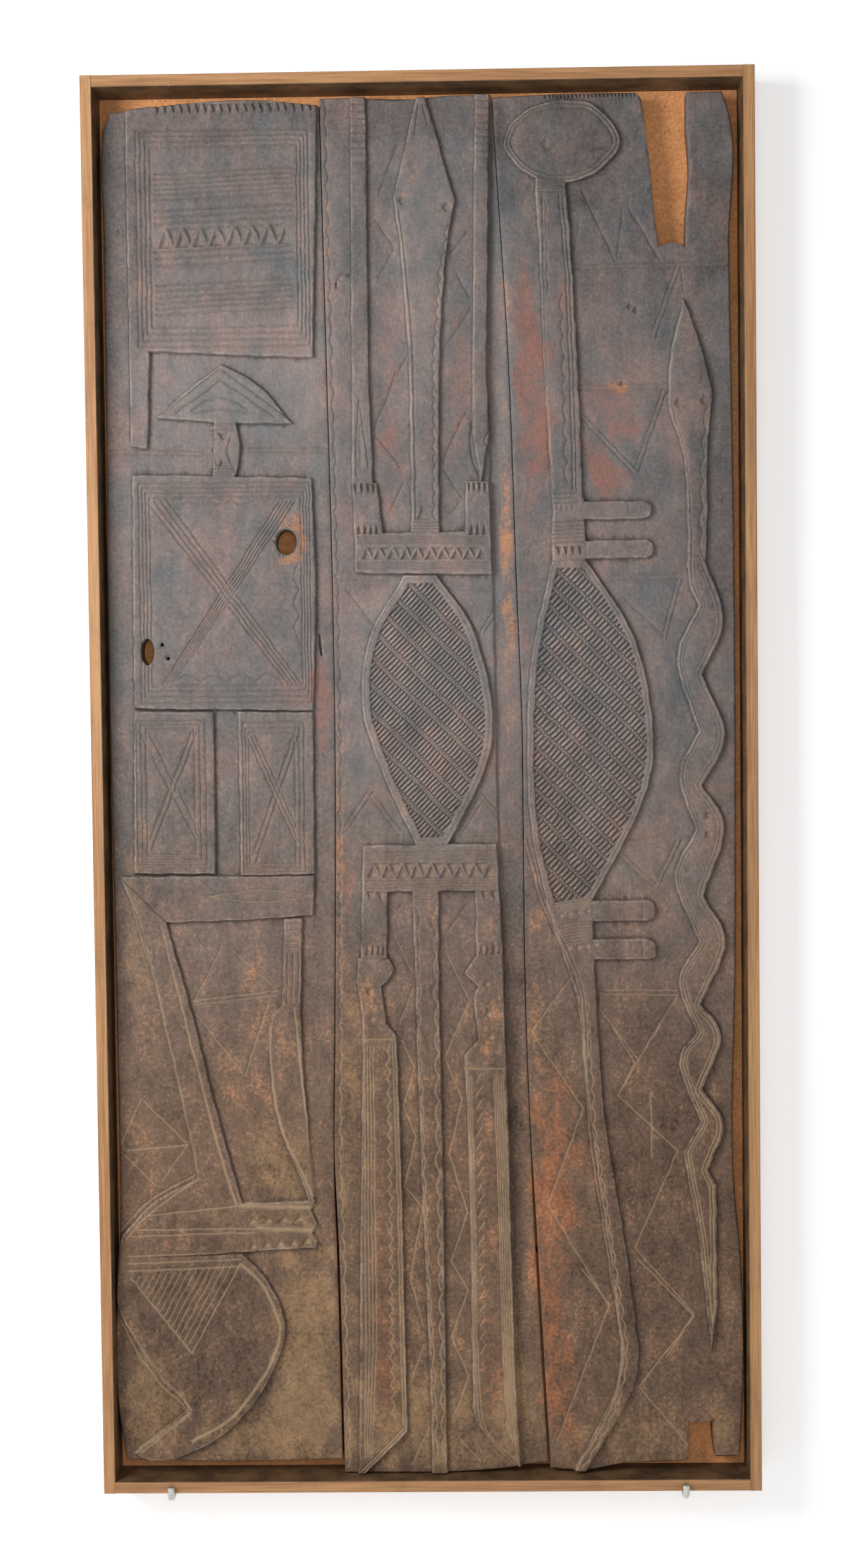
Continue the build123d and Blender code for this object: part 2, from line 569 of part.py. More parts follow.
def build():
    """Every node of the door, by name."""
    corner = (corner_screw_places(), CORNER_SCREW_RADIUS, CORNER_SCREW_LENGTH)
    board = (board_screw_places(), BOARD_SCREW_RADIUS, BOARD_SCREW_LENGTH)
    door = (door_screw_places(), DOOR_SCREW_RADIUS, DOOR_SCREW_LENGTH)
    corner_holes = screws(*corner, HOLE_CLEARANCE)
    board_holes = screws(*board, HOLE_CLEARANCE)
    door_holes = screws(*door, HOLE_CLEARANCE)
    tray_holes = corner_holes + board_holes
    left_places = seam_places(LEFT_SEAM_SHARES)
    right_places = seam_places(RIGHT_SEAM_SHARES)
    left_slots = [staple_slot(*spot) for spot in left_places]
    right_slots = [staple_slot(*spot) for spot in right_places]
    backing_board = back_panel(BOARD_CLEARANCE, REBATE_WIDTH, BOARD_THICKNESS, 0)
    cork_panel = back_panel(CORK_CLEARANCE, 0, CORK_THICKNESS, -BOARD_THICKNESS)

    nodes = planks(door_holes, left_slots, right_slots)
    nodes["seam_staples_left"] = Compound(children=[staple(*spot) for spot in left_places])
    nodes["seam_staples_right"] = Compound(children=[staple(*spot) for spot in right_places])
    nodes["door_fixing_screws"] = Compound(children=screws(*door))
    nodes["cork_panel"] = less(cork_panel, door_holes)
    nodes["backing_board"] = less(backing_board, door_holes + board_holes)
    nodes["backing_board_screws"] = Compound(children=screws(*board))
    nodes["frame_stile_left"] = less(stile(-1), tray_holes)
    nodes["frame_stile_right"] = less(stile(1), tray_holes)
    nodes["frame_rail_top"] = less(rail(1), tray_holes)
    nodes["frame_rail_bottom"] = less(rail(-1), tray_holes)
    nodes["frame_corner_screws"] = Compound(children=screws(*corner))
    nodes["support_hook_left"] = hook(-1)
    nodes["support_hook_right"] = hook(1)
    return nodes


os.makedirs("parts", exist_ok=True)
for name, shape in build().items():
    export_step(shape, "parts/" + name + ".step")
    print(name, len(shape.solids()), "solids", round(shape.volume), "cubic millimetres")
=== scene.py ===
# %% [markdown]
# # A carved door leaf in its wall tray
# The real object is a heavy old door leaf of three hewn planks, carved in low relief and darkened by smoke and
# hands. It lies in a shallow wooden tray lined with cork board, and the tray stands on two bent wall hooks. The
# frame that is loaded here holds the true sizes. Everything below gives that frame its carved surface, its
# patina and its light.

# %% Load the frame
import math
import bpy
import numpy as np
from mathutils import Matrix, Vector


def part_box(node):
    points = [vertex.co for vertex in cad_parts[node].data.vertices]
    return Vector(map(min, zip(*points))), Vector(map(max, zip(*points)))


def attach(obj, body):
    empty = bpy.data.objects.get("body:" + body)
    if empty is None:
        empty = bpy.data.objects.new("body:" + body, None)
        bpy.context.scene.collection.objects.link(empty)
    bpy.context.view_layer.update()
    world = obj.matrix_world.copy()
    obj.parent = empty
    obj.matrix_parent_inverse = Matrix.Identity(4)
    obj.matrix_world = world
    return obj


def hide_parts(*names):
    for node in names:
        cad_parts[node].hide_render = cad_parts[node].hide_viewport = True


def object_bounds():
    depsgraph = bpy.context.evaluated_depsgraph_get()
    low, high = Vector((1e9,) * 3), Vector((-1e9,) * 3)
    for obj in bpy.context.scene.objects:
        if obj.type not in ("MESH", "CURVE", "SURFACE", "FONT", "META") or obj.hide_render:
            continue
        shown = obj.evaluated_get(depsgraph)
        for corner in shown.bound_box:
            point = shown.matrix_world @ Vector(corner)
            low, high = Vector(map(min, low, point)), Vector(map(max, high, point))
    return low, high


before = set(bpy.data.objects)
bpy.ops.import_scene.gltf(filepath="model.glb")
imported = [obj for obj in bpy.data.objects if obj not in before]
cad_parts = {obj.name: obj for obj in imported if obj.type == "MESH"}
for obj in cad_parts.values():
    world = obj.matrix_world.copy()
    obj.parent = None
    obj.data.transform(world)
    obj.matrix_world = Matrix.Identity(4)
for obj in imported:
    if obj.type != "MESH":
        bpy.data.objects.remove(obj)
CAD_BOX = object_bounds()
DOOR_BODY = "framed_door"
HOOK_BODY = "wall_hooks"
print("CAD box", [[round(value, 4) for value in corner] for corner in CAD_BOX])

# %% [markdown]
# ## Places on the leaf
# Every figure of the carving is drawn in shares of the leaf: across from its left edge, and up from its foot.
# That keeps a drawing readable, and it stays on the planks whatever their size. Depths are in metres, measured
# from the ground of the carving, which the frame gives.

# %% Sizes of the leaf
MM = 0.001
LEAF_WIDTH = 0.806
LEAF_HEIGHT = 1.772
LEAF_FOOT = -0.8895
RELIEF = 7.0 * MM
FACE_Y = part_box("plank_right")[0].y
GROUND_Y = FACE_Y + RELIEF
BACK_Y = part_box("plank_right")[1].y
GRID_STEP = 0.9 * MM
TRIANGLE_LIMIT = 190000


def spots(shares):
    """Shares of the leaf as an array of places: across minus one half, times the width; up, times the height."""
    table = np.asarray(shares, float).reshape(-1, 2)
    return np.column_stack([(table[:, 0] - 0.5) * LEAF_WIDTH, LEAF_FOOT + table[:, 1] * LEAF_HEIGHT])


print("ground of the carving at y =", round(GROUND_Y, 4), "and back of the planks at y =", round(BACK_Y, 4))

# %% [markdown]
# ## Numbers that make finishes
# A finish is a sum of small effects: broad clouds of colour, grain, dust, wear. Written as node calls, such sums
# are hard to read. So one small class wraps a socket, and Python's own operators on it add the Math nodes.

# %% Sums on sockets


def paint(red, green, blue):
    """A colour as seen on a screen, 0 to 255, turned into the linear light that shaders add and multiply."""
    seen = np.array([red, green, blue]) / 255
    return (*np.where(seen <= 0.04045, seen / 12.92, ((seen + 0.055) / 1.055) ** 2.4).tolist(), 1.0)


class Signal:
    """A number, colour or vector that changes over a surface; sums with it add Math nodes to its finish."""

    def __init__(self, finish, socket):
        self.finish = finish
        self.socket = socket

    def __add__(self, other):
        return self.finish.math("ADD", self, other)

    def __sub__(self, other):
        return self.finish.math("SUBTRACT", self, other)

    def __mul__(self, other):
        return self.finish.math("MULTIPLY", self, other)

    def __rsub__(self, other):
        return self.finish.math("SUBTRACT", other, self)

    __radd__ = __add__
    __rmul__ = __mul__

    def held(self):
        """The number kept between 0 and 1."""
        return self.finish.math("MAXIMUM", self.finish.math("MINIMUM", self, 1.0), 0.0)

    def between(self, low, high):
        """0 below low, 1 above high, and a smooth rise between them."""
        settings = {"interpolation_type": "SMOOTHSTEP"}
        return self.finish.node("ShaderNodeMapRange", settings, {"Value": self, "From Min": low, "From Max": high})


class Finish:
    """One material: a Principled shader, and the nodes that feed it."""

    def __init__(self, name, **constants):
        self.material = bpy.data.materials.new(name)
        self.material.use_nodes = True
        self.tree = self.material.node_tree
        self.shader = self.tree.nodes["Principled BSDF"]
        for socket, value in constants.items():
            self.shader.inputs[socket.replace("_", " ")].default_value = value
        self.place = self.node("ShaderNodeTexCoord", outlet="Object")

    def feed(self, socket, value):
        """Links a signal to a socket, or sets the socket's own value."""
        if isinstance(value, Signal):
            self.tree.links.new(value.socket, socket)
        else:
            socket.default_value = value

    def node(self, kind, settings=None, inputs=None, outlet=0):
        """Adds a node: first its settings, then a value or a link for each socket."""
        node = self.tree.nodes.new(kind)
        for name, value in (settings or {}).items():
            setattr(node, name, value)
        for name, value in (inputs or {}).items():
            self.feed(node.inputs[name], value)
        return Signal(self, node.outputs[outlet])

    def math(self, operation, first, second):
        return self.node("ShaderNodeMath", {"operation": operation}, {0: first, 1: second})

    def noise(self, size, stretch=(1, 1, 1), detail=3.0, roughness=0.55, shift=0.0):
        """Cloud noise from 0 to 1 with blobs of about that size in metres, longer along a stretched axis."""
        scale = [1 / (size * share) for share in stretch]
        where = self.node(
            "ShaderNodeMapping", None, {"Vector": self.place, "Scale": scale, "Location": [shift] * 3},
        )
        inputs = {"Vector": where, "Scale": 1.0, "Detail": detail, "Roughness": roughness}
        return self.node("ShaderNodeTexNoise", None, inputs)

    def mix(self, share, below, above, blend="MIX"):
        """One colour laid over another by a share."""
        settings = {"data_type": "RGBA", "blend_type": blend, "clamp_factor": True}
        return self.node("ShaderNodeMix", settings, {0: share, 6: below, 7: above}, 2)

    def attribute(self, name):
        """A number stored on the points of the mesh."""
        return self.node("ShaderNodeAttribute", {"attribute_name": name}, None, "Fac")

    def upright(self):
        """How far up a point is, in metres."""
        return self.node("ShaderNodeSeparateXYZ", None, {0: self.place}, "Z")

    def across(self):
        """How far to the right a point is, in metres."""
        return self.node("ShaderNodeSeparateXYZ", None, {0: self.place}, "X")

    def bump(self, height, distance, strength=1.0, under=None):
        """The surface normal, tilted by the slope of a height, on top of another normal if one is given."""
        inputs = {"Height": height, "Distance": distance, "Strength": strength}
        if under is not None:
            inputs["Normal"] = under
        return self.node("ShaderNodeBump", None, inputs, "Normal")

    def show(self, **signals):
        """Feeds the shader's changing sockets."""
        for socket, value in signals.items():
            self.feed(self.shader.inputs[socket.replace("_", " ")], value)
        print("finish", self.material.name, "with", len(self.tree.nodes), "nodes")
        return self.material


# %% [markdown]
# ## Meshes from arrays
# A carved plank has hundreds of thousands of points, so no loop visits them one by one. The points are worked out
# as whole arrays, and the mesh takes the arrays as they are.

# %% Grids to meshes


def mesh_of(name, points, quads, caps=(), numbers=None):
    """An object at the origin from points, four-sided faces and many-sided caps, with numbers kept per point."""
    mesh = bpy.data.meshes.new(name)
    mesh.vertices.add(len(points))
    mesh.vertices.foreach_set("co", np.asarray(points, np.float32).ravel())
    corners = np.concatenate([np.asarray(quads).ravel(), *[np.asarray(cap) for cap in caps]]).astype(np.int32)
    counts = np.concatenate([np.full(len(quads), 4), [len(cap) for cap in caps]]).astype(np.int32)
    starts = np.concatenate([[0], np.cumsum(counts)[:-1]]).astype(np.int32)
    mesh.loops.add(len(corners))
    mesh.loops.foreach_set("vertex_index", corners)
    mesh.polygons.add(len(counts))
    mesh.polygons.foreach_set("loop_start", starts)
    mesh.update(calc_edges=True)
    mesh.validate()
    for label, values in (numbers or {}).items():
        layer = mesh.attributes.new(label, "FLOAT", "POINT")
        layer.data.foreach_set("value", np.asarray(values, np.float32).ravel())
    mesh.polygons.foreach_set("use_smooth", np.ones(len(mesh.polygons), bool))
    piece = bpy.data.objects.new(name, mesh)
    bpy.context.scene.collection.objects.link(piece)
    return piece


def tube_quads(rows, columns):
    """The quads of a grid of points, rows by columns, where the last column meets the first again."""
    index = np.arange(rows * columns).reshape(rows, columns)
    right = np.roll(index, -1, axis=1)
    return np.stack([index[:-1], right[:-1], right[1:], index[1:]], axis=-1).reshape(-1, 4)


def apply_modifiers(piece):
    """Replaces a piece's mesh by its mesh with every modifier applied."""
    evaluated = piece.evaluated_get(bpy.context.evaluated_depsgraph_get())
    mesh = bpy.data.meshes.new_from_object(evaluated)
    piece.modifiers.clear()
    piece.data = mesh
    return piece


# %% [markdown]
# ## Tool marks
# Low relief is cut in two steps. The carver first lowers the ground round each figure, and then draws on the
# figures with grooves. Here both are sums of heights over the plank: the signed distance to an outline says how
# far a point is inside it, and a smooth step turns that distance into the sloping side of the figure. A groove
# takes away a rounded V along a line.

# %% Curves and distances


def curved(points, smooth=8):
    """Points on a smooth curve through the given ones: a cubic on each span, with slopes from its neighbours."""
    knots = np.asarray(points, float)
    slopes = np.gradient(knots, axis=0)
    part = np.linspace(0, 1, smooth, endpoint=False)[:, None, None]
    rise = part ** 2 * (3 - 2 * part)
    start_pull = part * (1 - part) ** 2
    end_pull = part ** 2 * (part - 1)
    spans = knots[:-1] * (1 - rise) + knots[1:] * rise + slopes[:-1] * start_pull + slopes[1:] * end_pull
    return np.vstack([spans.transpose(1, 0, 2).reshape(-1, 2), knots[-1:]])


def drawn(start, *steps):
    """An outline in shares: a step of one point is a line, and of more points a smooth curve through them."""
    line = [np.asarray([start], float)]
    for step in steps:
        here = line[-1][-1:]
        knots = np.vstack([here, np.asarray(step, float)])
        line.append(knots[1:] if len(step) == 1 else curved(knots)[1:])
    return np.vstack(line)


def eased(table, at):
    """A value read off a table of (place, value) pairs with a smooth curve through them."""
    places, values = np.asarray(table, float).T
    slopes = np.gradient(values, places)
    span = np.clip(np.searchsorted(places, at, side="right") - 1, 0, len(places) - 2)
    width = places[span + 1] - places[span]
    part = np.clip((at - places[span]) / width, 0, 1)
    rise = part ** 2 * (3 - 2 * part)
    pull = slopes[span] * part * (1 - part) ** 2 + slopes[span + 1] * part ** 2 * (part - 1)
    return values[span] * (1 - rise) + values[span + 1] * rise + pull * width


def to_line(x, z, line):
    """Distance from points to a line of straight pieces: the least distance to any piece."""
    least = np.full(x.shape, np.inf)
    for (ax, az), (bx, bz) in zip(line, line[1:]):
        run_x, run_z = bx - ax, bz - az
        long = max(run_x ** 2 + run_z ** 2, 1e-12)
        part = np.clip(((x - ax) * run_x + (z - az) * run_z) / long, 0, 1)
        least = np.minimum(least, (x - ax - part * run_x) ** 2 + (z - az - part * run_z) ** 2)
    return np.sqrt(least)


def inside(x, z, line):
    """True where a point lies inside a closed line: a ray to the right crosses it an odd number of times."""
    odd = np.zeros(x.shape, bool)
    for (ax, az), (bx, bz) in zip(line, np.roll(line, -1, axis=0)):
        if az != bz:
            odd ^= ((az > z) != (bz > z)) & (x < ax + (z - az) * (bx - ax) / (bz - az))
    return odd


def depth_inside(x, z, line):
    """Signed distance to a closed line, above zero inside it."""
    away = to_line(x, z, np.vstack([line, line[:1]]))
    return np.where(inside(x, z, line), away, -away)


def step_up(value, low, high):
    """0 below low and 1 above high, with a smooth rise between."""
    part = np.clip((value - low) / (high - low), 0, 1)
    return part ** 2 * (3 - 2 * part)


def cloud(x, z, size, seed, layers=3):
    """Smooth seeded noise from about -1 to 1: a few layers of waves in random directions, each half as large."""
    random = np.random.default_rng(seed)
    total = np.zeros(x.shape)
    for layer in range(layers):
        for wave in range(5):
            turn, phase = random.uniform(0, math.tau, 2)
            rate = math.tau / (size / 2 ** layer) * random.uniform(0.6, 1.4)
            total += np.sin((x * math.cos(turn) + z * math.sin(turn)) * rate + phase) / 2 ** layer
    return total / 5


# %% The carver's bench
FIGURE_SLOPE = 1.6 * MM
EDGE_RUB = 0.7 * MM
EDGE_RUB_WIDTH = 4.0 * MM
GROOVE_WIDTH = 3.2 * MM
GROOVE_DEPTH = 2.0 * MM
CHIP_DEPTH = 4.0 * MM
SCRATCH_WIDTH = 2.8 * MM
SCRATCH_DEPTH = 1.5 * MM
LATTICE_DEPTH = 2.7 * MM
BOW_POINTS = 8
PIT_WALL_SHARE = 0.6
LINE_DUST = 0.8


class Carving:
    """The heights over one plank, in metres above the ground, and the tools that change them."""

    def __init__(self, x, z):
        self.x, self.z = x, z
        self.height = np.zeros(x.shape)
        self.cuts = np.zeros(x.shape)
        self.lines = np.zeros(x.shape)
        self.gaps = np.zeros(x.shape)

    def near(self, line, margin):
        """The block of the grid that holds a line's box and a margin: rows and columns between its ends."""
        low, high = line.min(axis=0) - margin, line.max(axis=0) + margin
        rows = np.flatnonzero((self.z.max(axis=1) > low[1]) & (self.z.min(axis=1) < high[1]))
        columns = np.flatnonzero((self.x.max(axis=0) > low[0]) & (self.x.min(axis=0) < high[0]))
        if len(rows) == 0 or len(columns) == 0:
            return (slice(0, 0), slice(0, 0))
        return (slice(rows[0], rows[-1] + 1), slice(columns[0], columns[-1] + 1))

    def carve(self, here, depth):
        """Notes a cut; where cuts cross, the deeper one counts, so that crossings do not run deeper."""
        self.cuts[here] = np.maximum(self.cuts[here], depth)

    def dust(self, here, share):
        """Notes where a tool has cut a line or a pit, because pale dust settles there."""
        self.lines[here] = np.maximum(self.lines[here], share)

    def finish(self):
        """Takes the cuts away from the heights."""
        self.height -= self.cuts
        return self.height

    def raise_figure(self, shares, height=RELIEF, slope=FIGURE_SLOPE):
        """Lifts the inside of an outline above the ground; its side slopes, and its edge is rubbed round."""
        line = spots(shares)
        here = self.near(line, slope)
        depth = depth_inside(self.x[here], self.z[here], line)
        lifted = step_up(depth, -slope / 2, slope / 2)
        rubbed = EDGE_RUB * (1 - step_up(depth, 0, EDGE_RUB_WIDTH)) * lifted
        self.height[here] = np.maximum(self.height[here], height * lifted - rubbed)
        return line

    def chip(self, shares, depth=CHIP_DEPTH):
        """A chip-cut pit: its walls fall from the outline to one deep place."""
        line = spots(shares)
        here = self.near(line, MM)
        within = depth_inside(self.x[here], self.z[here], line)
        reach = max(within.max(initial=0), 0.1 * MM)
        self.carve(here, depth * np.clip(within / (reach * PIT_WALL_SHARE), 0, 1))
        self.dust(here, step_up(within, 0, reach * PIT_WALL_SHARE))

    def groove_at(self, line, width, depth):
        """A rounded V cut along a line of places: deepest on the line, and gone half a width away."""
        here = self.near(line, width)
        away = to_line(self.x[here], self.z[here], line)
        self.carve(here, depth * (1 - step_up(away, 0, width / 2)))
        self.dust(here, LINE_DUST * (1 - step_up(away, width * 0.15, width * 0.55)))

    def groove(self, shares, width=GROOVE_WIDTH, depth=GROOVE_DEPTH):
        """A groove along a line of shares."""
        self.groove_at(spots(shares), width, depth)

    def pair(self, shares, gap=4.5 * MM, width=GROOVE_WIDTH, depth=GROOVE_DEPTH):
        """Two grooves side by side, half a gap to each side of a line of shares."""
        line = spots(shares)
        run = line[-1] - line[0]
        aside = np.array([-run[1], run[0]]) / np.hypot(*run) * gap / 2
        for side in (-1, 1):
            self.groove_at(line + side * aside, width, depth)

    def grooves(self, first, last, count, width=GROOVE_WIDTH, depth=GROOVE_DEPTH):
        """Grooves from a first line to a last one, evenly spread between them."""
        first, last = np.asarray(first, float), np.asarray(last, float)
        for part in np.linspace(0, 1, count):
            self.groove(first + (last - first) * part, width, depth)

    def frame_lines(self, outer, inner, count):
        """Nested four-sided grooves between an outer and an inner frame, each as left, top, right and foot."""
        for part in np.linspace(0, 1, count):
            left, top, right, foot = np.asarray(outer) + (np.asarray(inner) - outer) * part
            self.groove([(left, top), (right, top), (right, foot), (left, foot), (left, top)])

    def inner_lines(self, shares, insets, width=GROOVE_WIDTH, depth=GROOVE_DEPTH):
        """Grooves that follow an outline at several distances inside it."""
        line = spots(shares)
        here = self.near(line, 0.0)
        within = depth_inside(self.x[here], self.z[here], line)
        for inset in insets:
            away = np.abs(within - inset)
            self.carve(here, depth * (1 - step_up(away, 0, width / 2)))
            self.dust(here, LINE_DUST * (1 - step_up(away, width * 0.15, width * 0.55)))

    def teeth(self, start, end, rise, count, depth=CHIP_DEPTH):
        """A row of triangular pits: their bases lie on a line, and their points at a rise from it."""
        stops = np.linspace(0, 1, count + 1)[:, None]
        base = np.asarray(start) + (np.asarray(end) - start) * stops
        for left, right in zip(base, base[1:]):
            middle = (left + right) / 2
            self.chip([left + (middle - left) * 0.12, right + (middle - right) * 0.12, middle + rise], depth)

    def zigzag(self, start, end, rise, count):
        """A raised zigzag in a band: pits that point up from its foot, and pits that point down between them."""
        start, end = np.asarray(start, float), np.asarray(end, float)
        half = (end - start) / count / 2
        self.teeth(start, end, (0.0, rise * 0.86), count)
        self.teeth(start + half + (0, rise), end - half + (0, rise), (0.0, -rise * 0.86), count - 1)

    def wave(self, line, count, sag, sharp=False, width=3.0 * MM, depth=1.6 * MM):
        """A row of bows along a line of shares: each leaves it by a sag and comes back; sharp bows are corners."""
        table = np.asarray(line, float)
        long = np.concatenate([[0], np.cumsum(np.hypot(*np.diff(spots(table), axis=0).T))])
        at = np.linspace(0, 1, count * BOW_POINTS + 1)
        walk = np.column_stack([np.interp(at * long[-1], long, table[:, axis]) for axis in (0, 1)])
        lift = np.abs((at * count) % 1 - 0.5) * 2 if sharp else np.abs(np.sin(at * count * math.pi))
        self.groove(walk + lift[:, None] * np.asarray(sag), width, depth)

    def diamonds(self, places, half_width=0.0085, half_height=0.0036):
        """Small four-sided pits."""
        for across, up in places:
            self.chip([
                (across - half_width, up), (across, up + half_height), (across + half_width, up),
                (across, up - half_height),
            ])

    def lattice(self, line, inset, lean, band, slat, depth):
        """The woven field of a leaf: bands that run down to the right, and in each band a row of short slats.

        One coordinate runs along the bands and one across them. A slat is a stretch of the first, a band is a
        stretch of the second, and both leave grooves where one stretch meets the next."""
        here = self.near(line, 0.0)
        within = depth_inside(self.x[here], self.z[here], line)
        along = self.x[here] * math.cos(lean) - self.z[here] * math.sin(lean)
        over = self.x[here] * math.sin(lean) + self.z[here] * math.cos(lean)
        over = over + 0.6 * MM * np.sin(along * 40)
        in_band = np.abs((over / band) % 1 - 0.5) * 2
        row = np.floor(over / band)
        in_slat = np.abs((along / slat + row * 0.37) % 1 - 0.5) * 2
        rail = step_up(in_band, 0.74, 0.79)
        rail_cut = 1 - step_up(np.abs(in_band - 0.77), 0.0, 0.11)
        gap = step_up(in_slat, 0.48, 0.84) * (1 - rail)
        dots = step_up(in_band, 0.88, 0.95) * step_up(np.abs((along / slat * 1.5) % 1 - 0.5) * 2, 0.3, 0.7) * 0.7
        deep = np.maximum(np.maximum(gap, rail_cut * 0.85), dots)
        field = step_up(within, inset, inset + 1.2 * MM)
        self.carve(here, (depth + LATTICE_DEPTH * deep) * field)
        self.gaps[here] = np.maximum(self.gaps[here], deep * field)


def blurred(values, cells):
    """Values averaged over a square of cells, twice: sums up to each place, less the sums a square before it."""
    for axis in (0, 1, 0, 1):
        padded = np.pad(values, [(cells + 1, cells) if number == axis else (0, 0) for number in (0, 1)], mode="edge")
        sums = np.cumsum(padded, axis=axis)
        count = 2 * cells + 1
        ahead = np.take(sums, np.arange(count, sums.shape[axis]), axis=axis)
        behind = np.take(sums, np.arange(0, sums.shape[axis] - count), axis=axis)
        values = (ahead - behind) / count
    return values


print("carving grid step", GRID_STEP)

# %% [markdown]
# ## The seams and the edges of the planks
# The three planks meet along two wandering seams. A plank's surface is a grid that is stretched between its own
# left and right edge, so no point is wasted outside the wood, and the edge runs smoothly however it bends.

# %% Outlines of the planks
LEFT_SEAM_SHARES = (
    (0.004, 0.357), (0.164, 0.352), (0.226, 0.348), (0.331, 0.352),
    (0.541, 0.358), (0.659, 0.357), (0.813, 0.352), (0.998, 0.346),
)
RIGHT_SEAM_SHARES = (
    (0.004, 0.689), (0.085, 0.680), (0.349, 0.658), (0.476, 0.657),
    (0.539, 0.657), (0.650, 0.650), (0.804, 0.641), (0.998, 0.618),
)
LEAF_LEFT_SHARES = (
    (0.0, 0.006), (0.012, 0.001), (0.207, 0.002), (0.391, 0.000), (0.611, -0.002),
    (0.760, 0.000), (0.917, 0.001), (0.980, 0.001), (0.990, 0.004), (0.996, 0.012),
)
LEAF_RIGHT_SHARES = (
    (0.0, 0.996), (0.020, 0.999), (0.160, 0.998), (0.190, 0.992), (0.370, 0.994),
    (0.504, 0.996), (0.752, 0.994), (0.886, 0.990), (0.992, 0.986), (1.001, 0.979),
)
PLANK_EDGES = {
    "plank_left": {
        "left": LEAF_LEFT_SHARES, "right": LEFT_SEAM_SHARES,
        "foot": ((0.0, 0.010), (0.11, 0.008), (0.36, 0.009)),
        "top": ((0.0, 0.990), (0.02, 0.9915), (0.12, 0.996), (0.24, 0.998), (0.345, 0.994)),
    },
    "plank_middle": {
        "left": LEFT_SEAM_SHARES, "right": RIGHT_SEAM_SHARES,
        "foot": ((0.35, -0.001), (0.41, -0.001), (0.53, -0.001), (0.645, 0.003), (0.70, 0.007)),
        "top": ((0.34, 0.999), (0.40, 0.9995), (0.47, 0.9975), (0.55, 1.0), (0.63, 1.0)),
    },
    "plank_right": {
        "left": RIGHT_SEAM_SHARES, "right": LEAF_RIGHT_SHARES,
        "foot": ((0.68, 0.002), (0.75, 0.0), (0.80, 0.004), (0.913, 0.007), (0.966, 0.010), (1.0, 0.010)),
        "top": ((0.61, 0.998), (0.73, 1.0), (0.845, 1.0), (0.925, 1.0), (0.99, 1.0)),
    },
}
SEAM_HALF_GAP = 0.4 * MM
SEAM_OPENING = 3.0
SEAM_ROUND = 1.0 * MM
EDGE_ROUND = 3.5 * MM
SIDE_COLUMNS = 7
BACK_COLUMNS = 6


def plank_grid(edges, left_gap, right_gap):
    """Places across and up on a grid between a plank's edges: each point is a share of the way from edge to edge."""
    width = LEAF_WIDTH * (edges["right"][4][1] - edges["left"][4][1])
    columns = int(width / GRID_STEP)
    rows = int(LEAF_HEIGHT / GRID_STEP)
    up = np.linspace(0, 1, rows)[:, None]
    part = np.linspace(0, 1, columns)[None, :]
    opening = 1 + SEAM_OPENING * (1 - step_up(up, 0.18, 0.25))
    left = (eased(edges["left"], up) - 0.5) * LEAF_WIDTH + left_gap * opening
    right = (eased(edges["right"], up) - 0.5) * LEAF_WIDTH - right_gap * opening
    x = left + (right - left) * part
    across = x / LEAF_WIDTH + 0.5
    foot = eased(edges["foot"], across)
    top = eased(edges["top"], across)
    z = LEAF_FOOT + LEAF_HEIGHT * (foot + (top - foot) * up)
    return x, z


def rounded_edges(x, z, node):
    """How far the face drops towards the plank's edges: a quarter circle, small at a seam and larger outside."""
    drop = np.zeros(x.shape)
    left_round = SEAM_ROUND if node != "plank_left" else EDGE_ROUND
    right_round = SEAM_ROUND if node != "plank_right" else EDGE_ROUND
    for reach, radius in (
        (x - x[:, :1], left_round), (x[:, -1:] - x, right_round), (z - z[:1], EDGE_ROUND), (z[-1:] - z, EDGE_ROUND),
    ):
        short = np.clip(radius - reach, 0, radius)
        drop = np.maximum(drop, radius - np.sqrt(radius ** 2 - short ** 2))
    return drop


def close_plank(name, x, z, height, numbers):
    """A whole plank: the carved face, its two sides and its back as one tube of points, capped top and foot."""
    rows, columns = x.shape
    face_y = GROUND_Y - height
    side = np.linspace(0, 1, SIDE_COLUMNS + 1)[None, 1:]
    back = np.linspace(0, 1, BACK_COLUMNS + 1)[None, 1:-1]
    sections = [
        (x, face_y, z),
        (x[:, -1:] + 0 * side, face_y[:, -1:] + (BACK_Y - face_y[:, -1:]) * side, z[:, -1:] + 0 * side),
        (x[:, -1:] + (x[:, :1] - x[:, -1:]) * back, BACK_Y + 0 * x[:, :1] + 0 * back,
         z[:, -1:] + (z[:, :1] - z[:, -1:]) * back),
        (x[:, :1] + 0 * side, BACK_Y + (face_y[:, :1] - BACK_Y) * (side - side[:, :1]), z[:, :1] + 0 * side),
    ]
    points = np.concatenate([np.stack(section, axis=-1) for section in sections], axis=1)
    around = points.shape[1]
    quads = tube_quads(rows, around)
    caps = [np.arange(around)[::-1], np.arange(around) + (rows - 1) * around]
    kept = {}
    for label, values in numbers.items():
        whole = np.zeros((rows, around))
        whole[:, :columns] = values
        kept[label] = whole
    return mesh_of(name, points.reshape(-1, 3), quads, caps, kept)


# %% [markdown]
# ## Figures of the left plank
# From the top: a writing board with a short grip, a sunshade, a large crossed panel and two small ones, a bar on
# two legs, a knife in its sheath and the blade of an axe. The outlines are the same shares as in the frame.

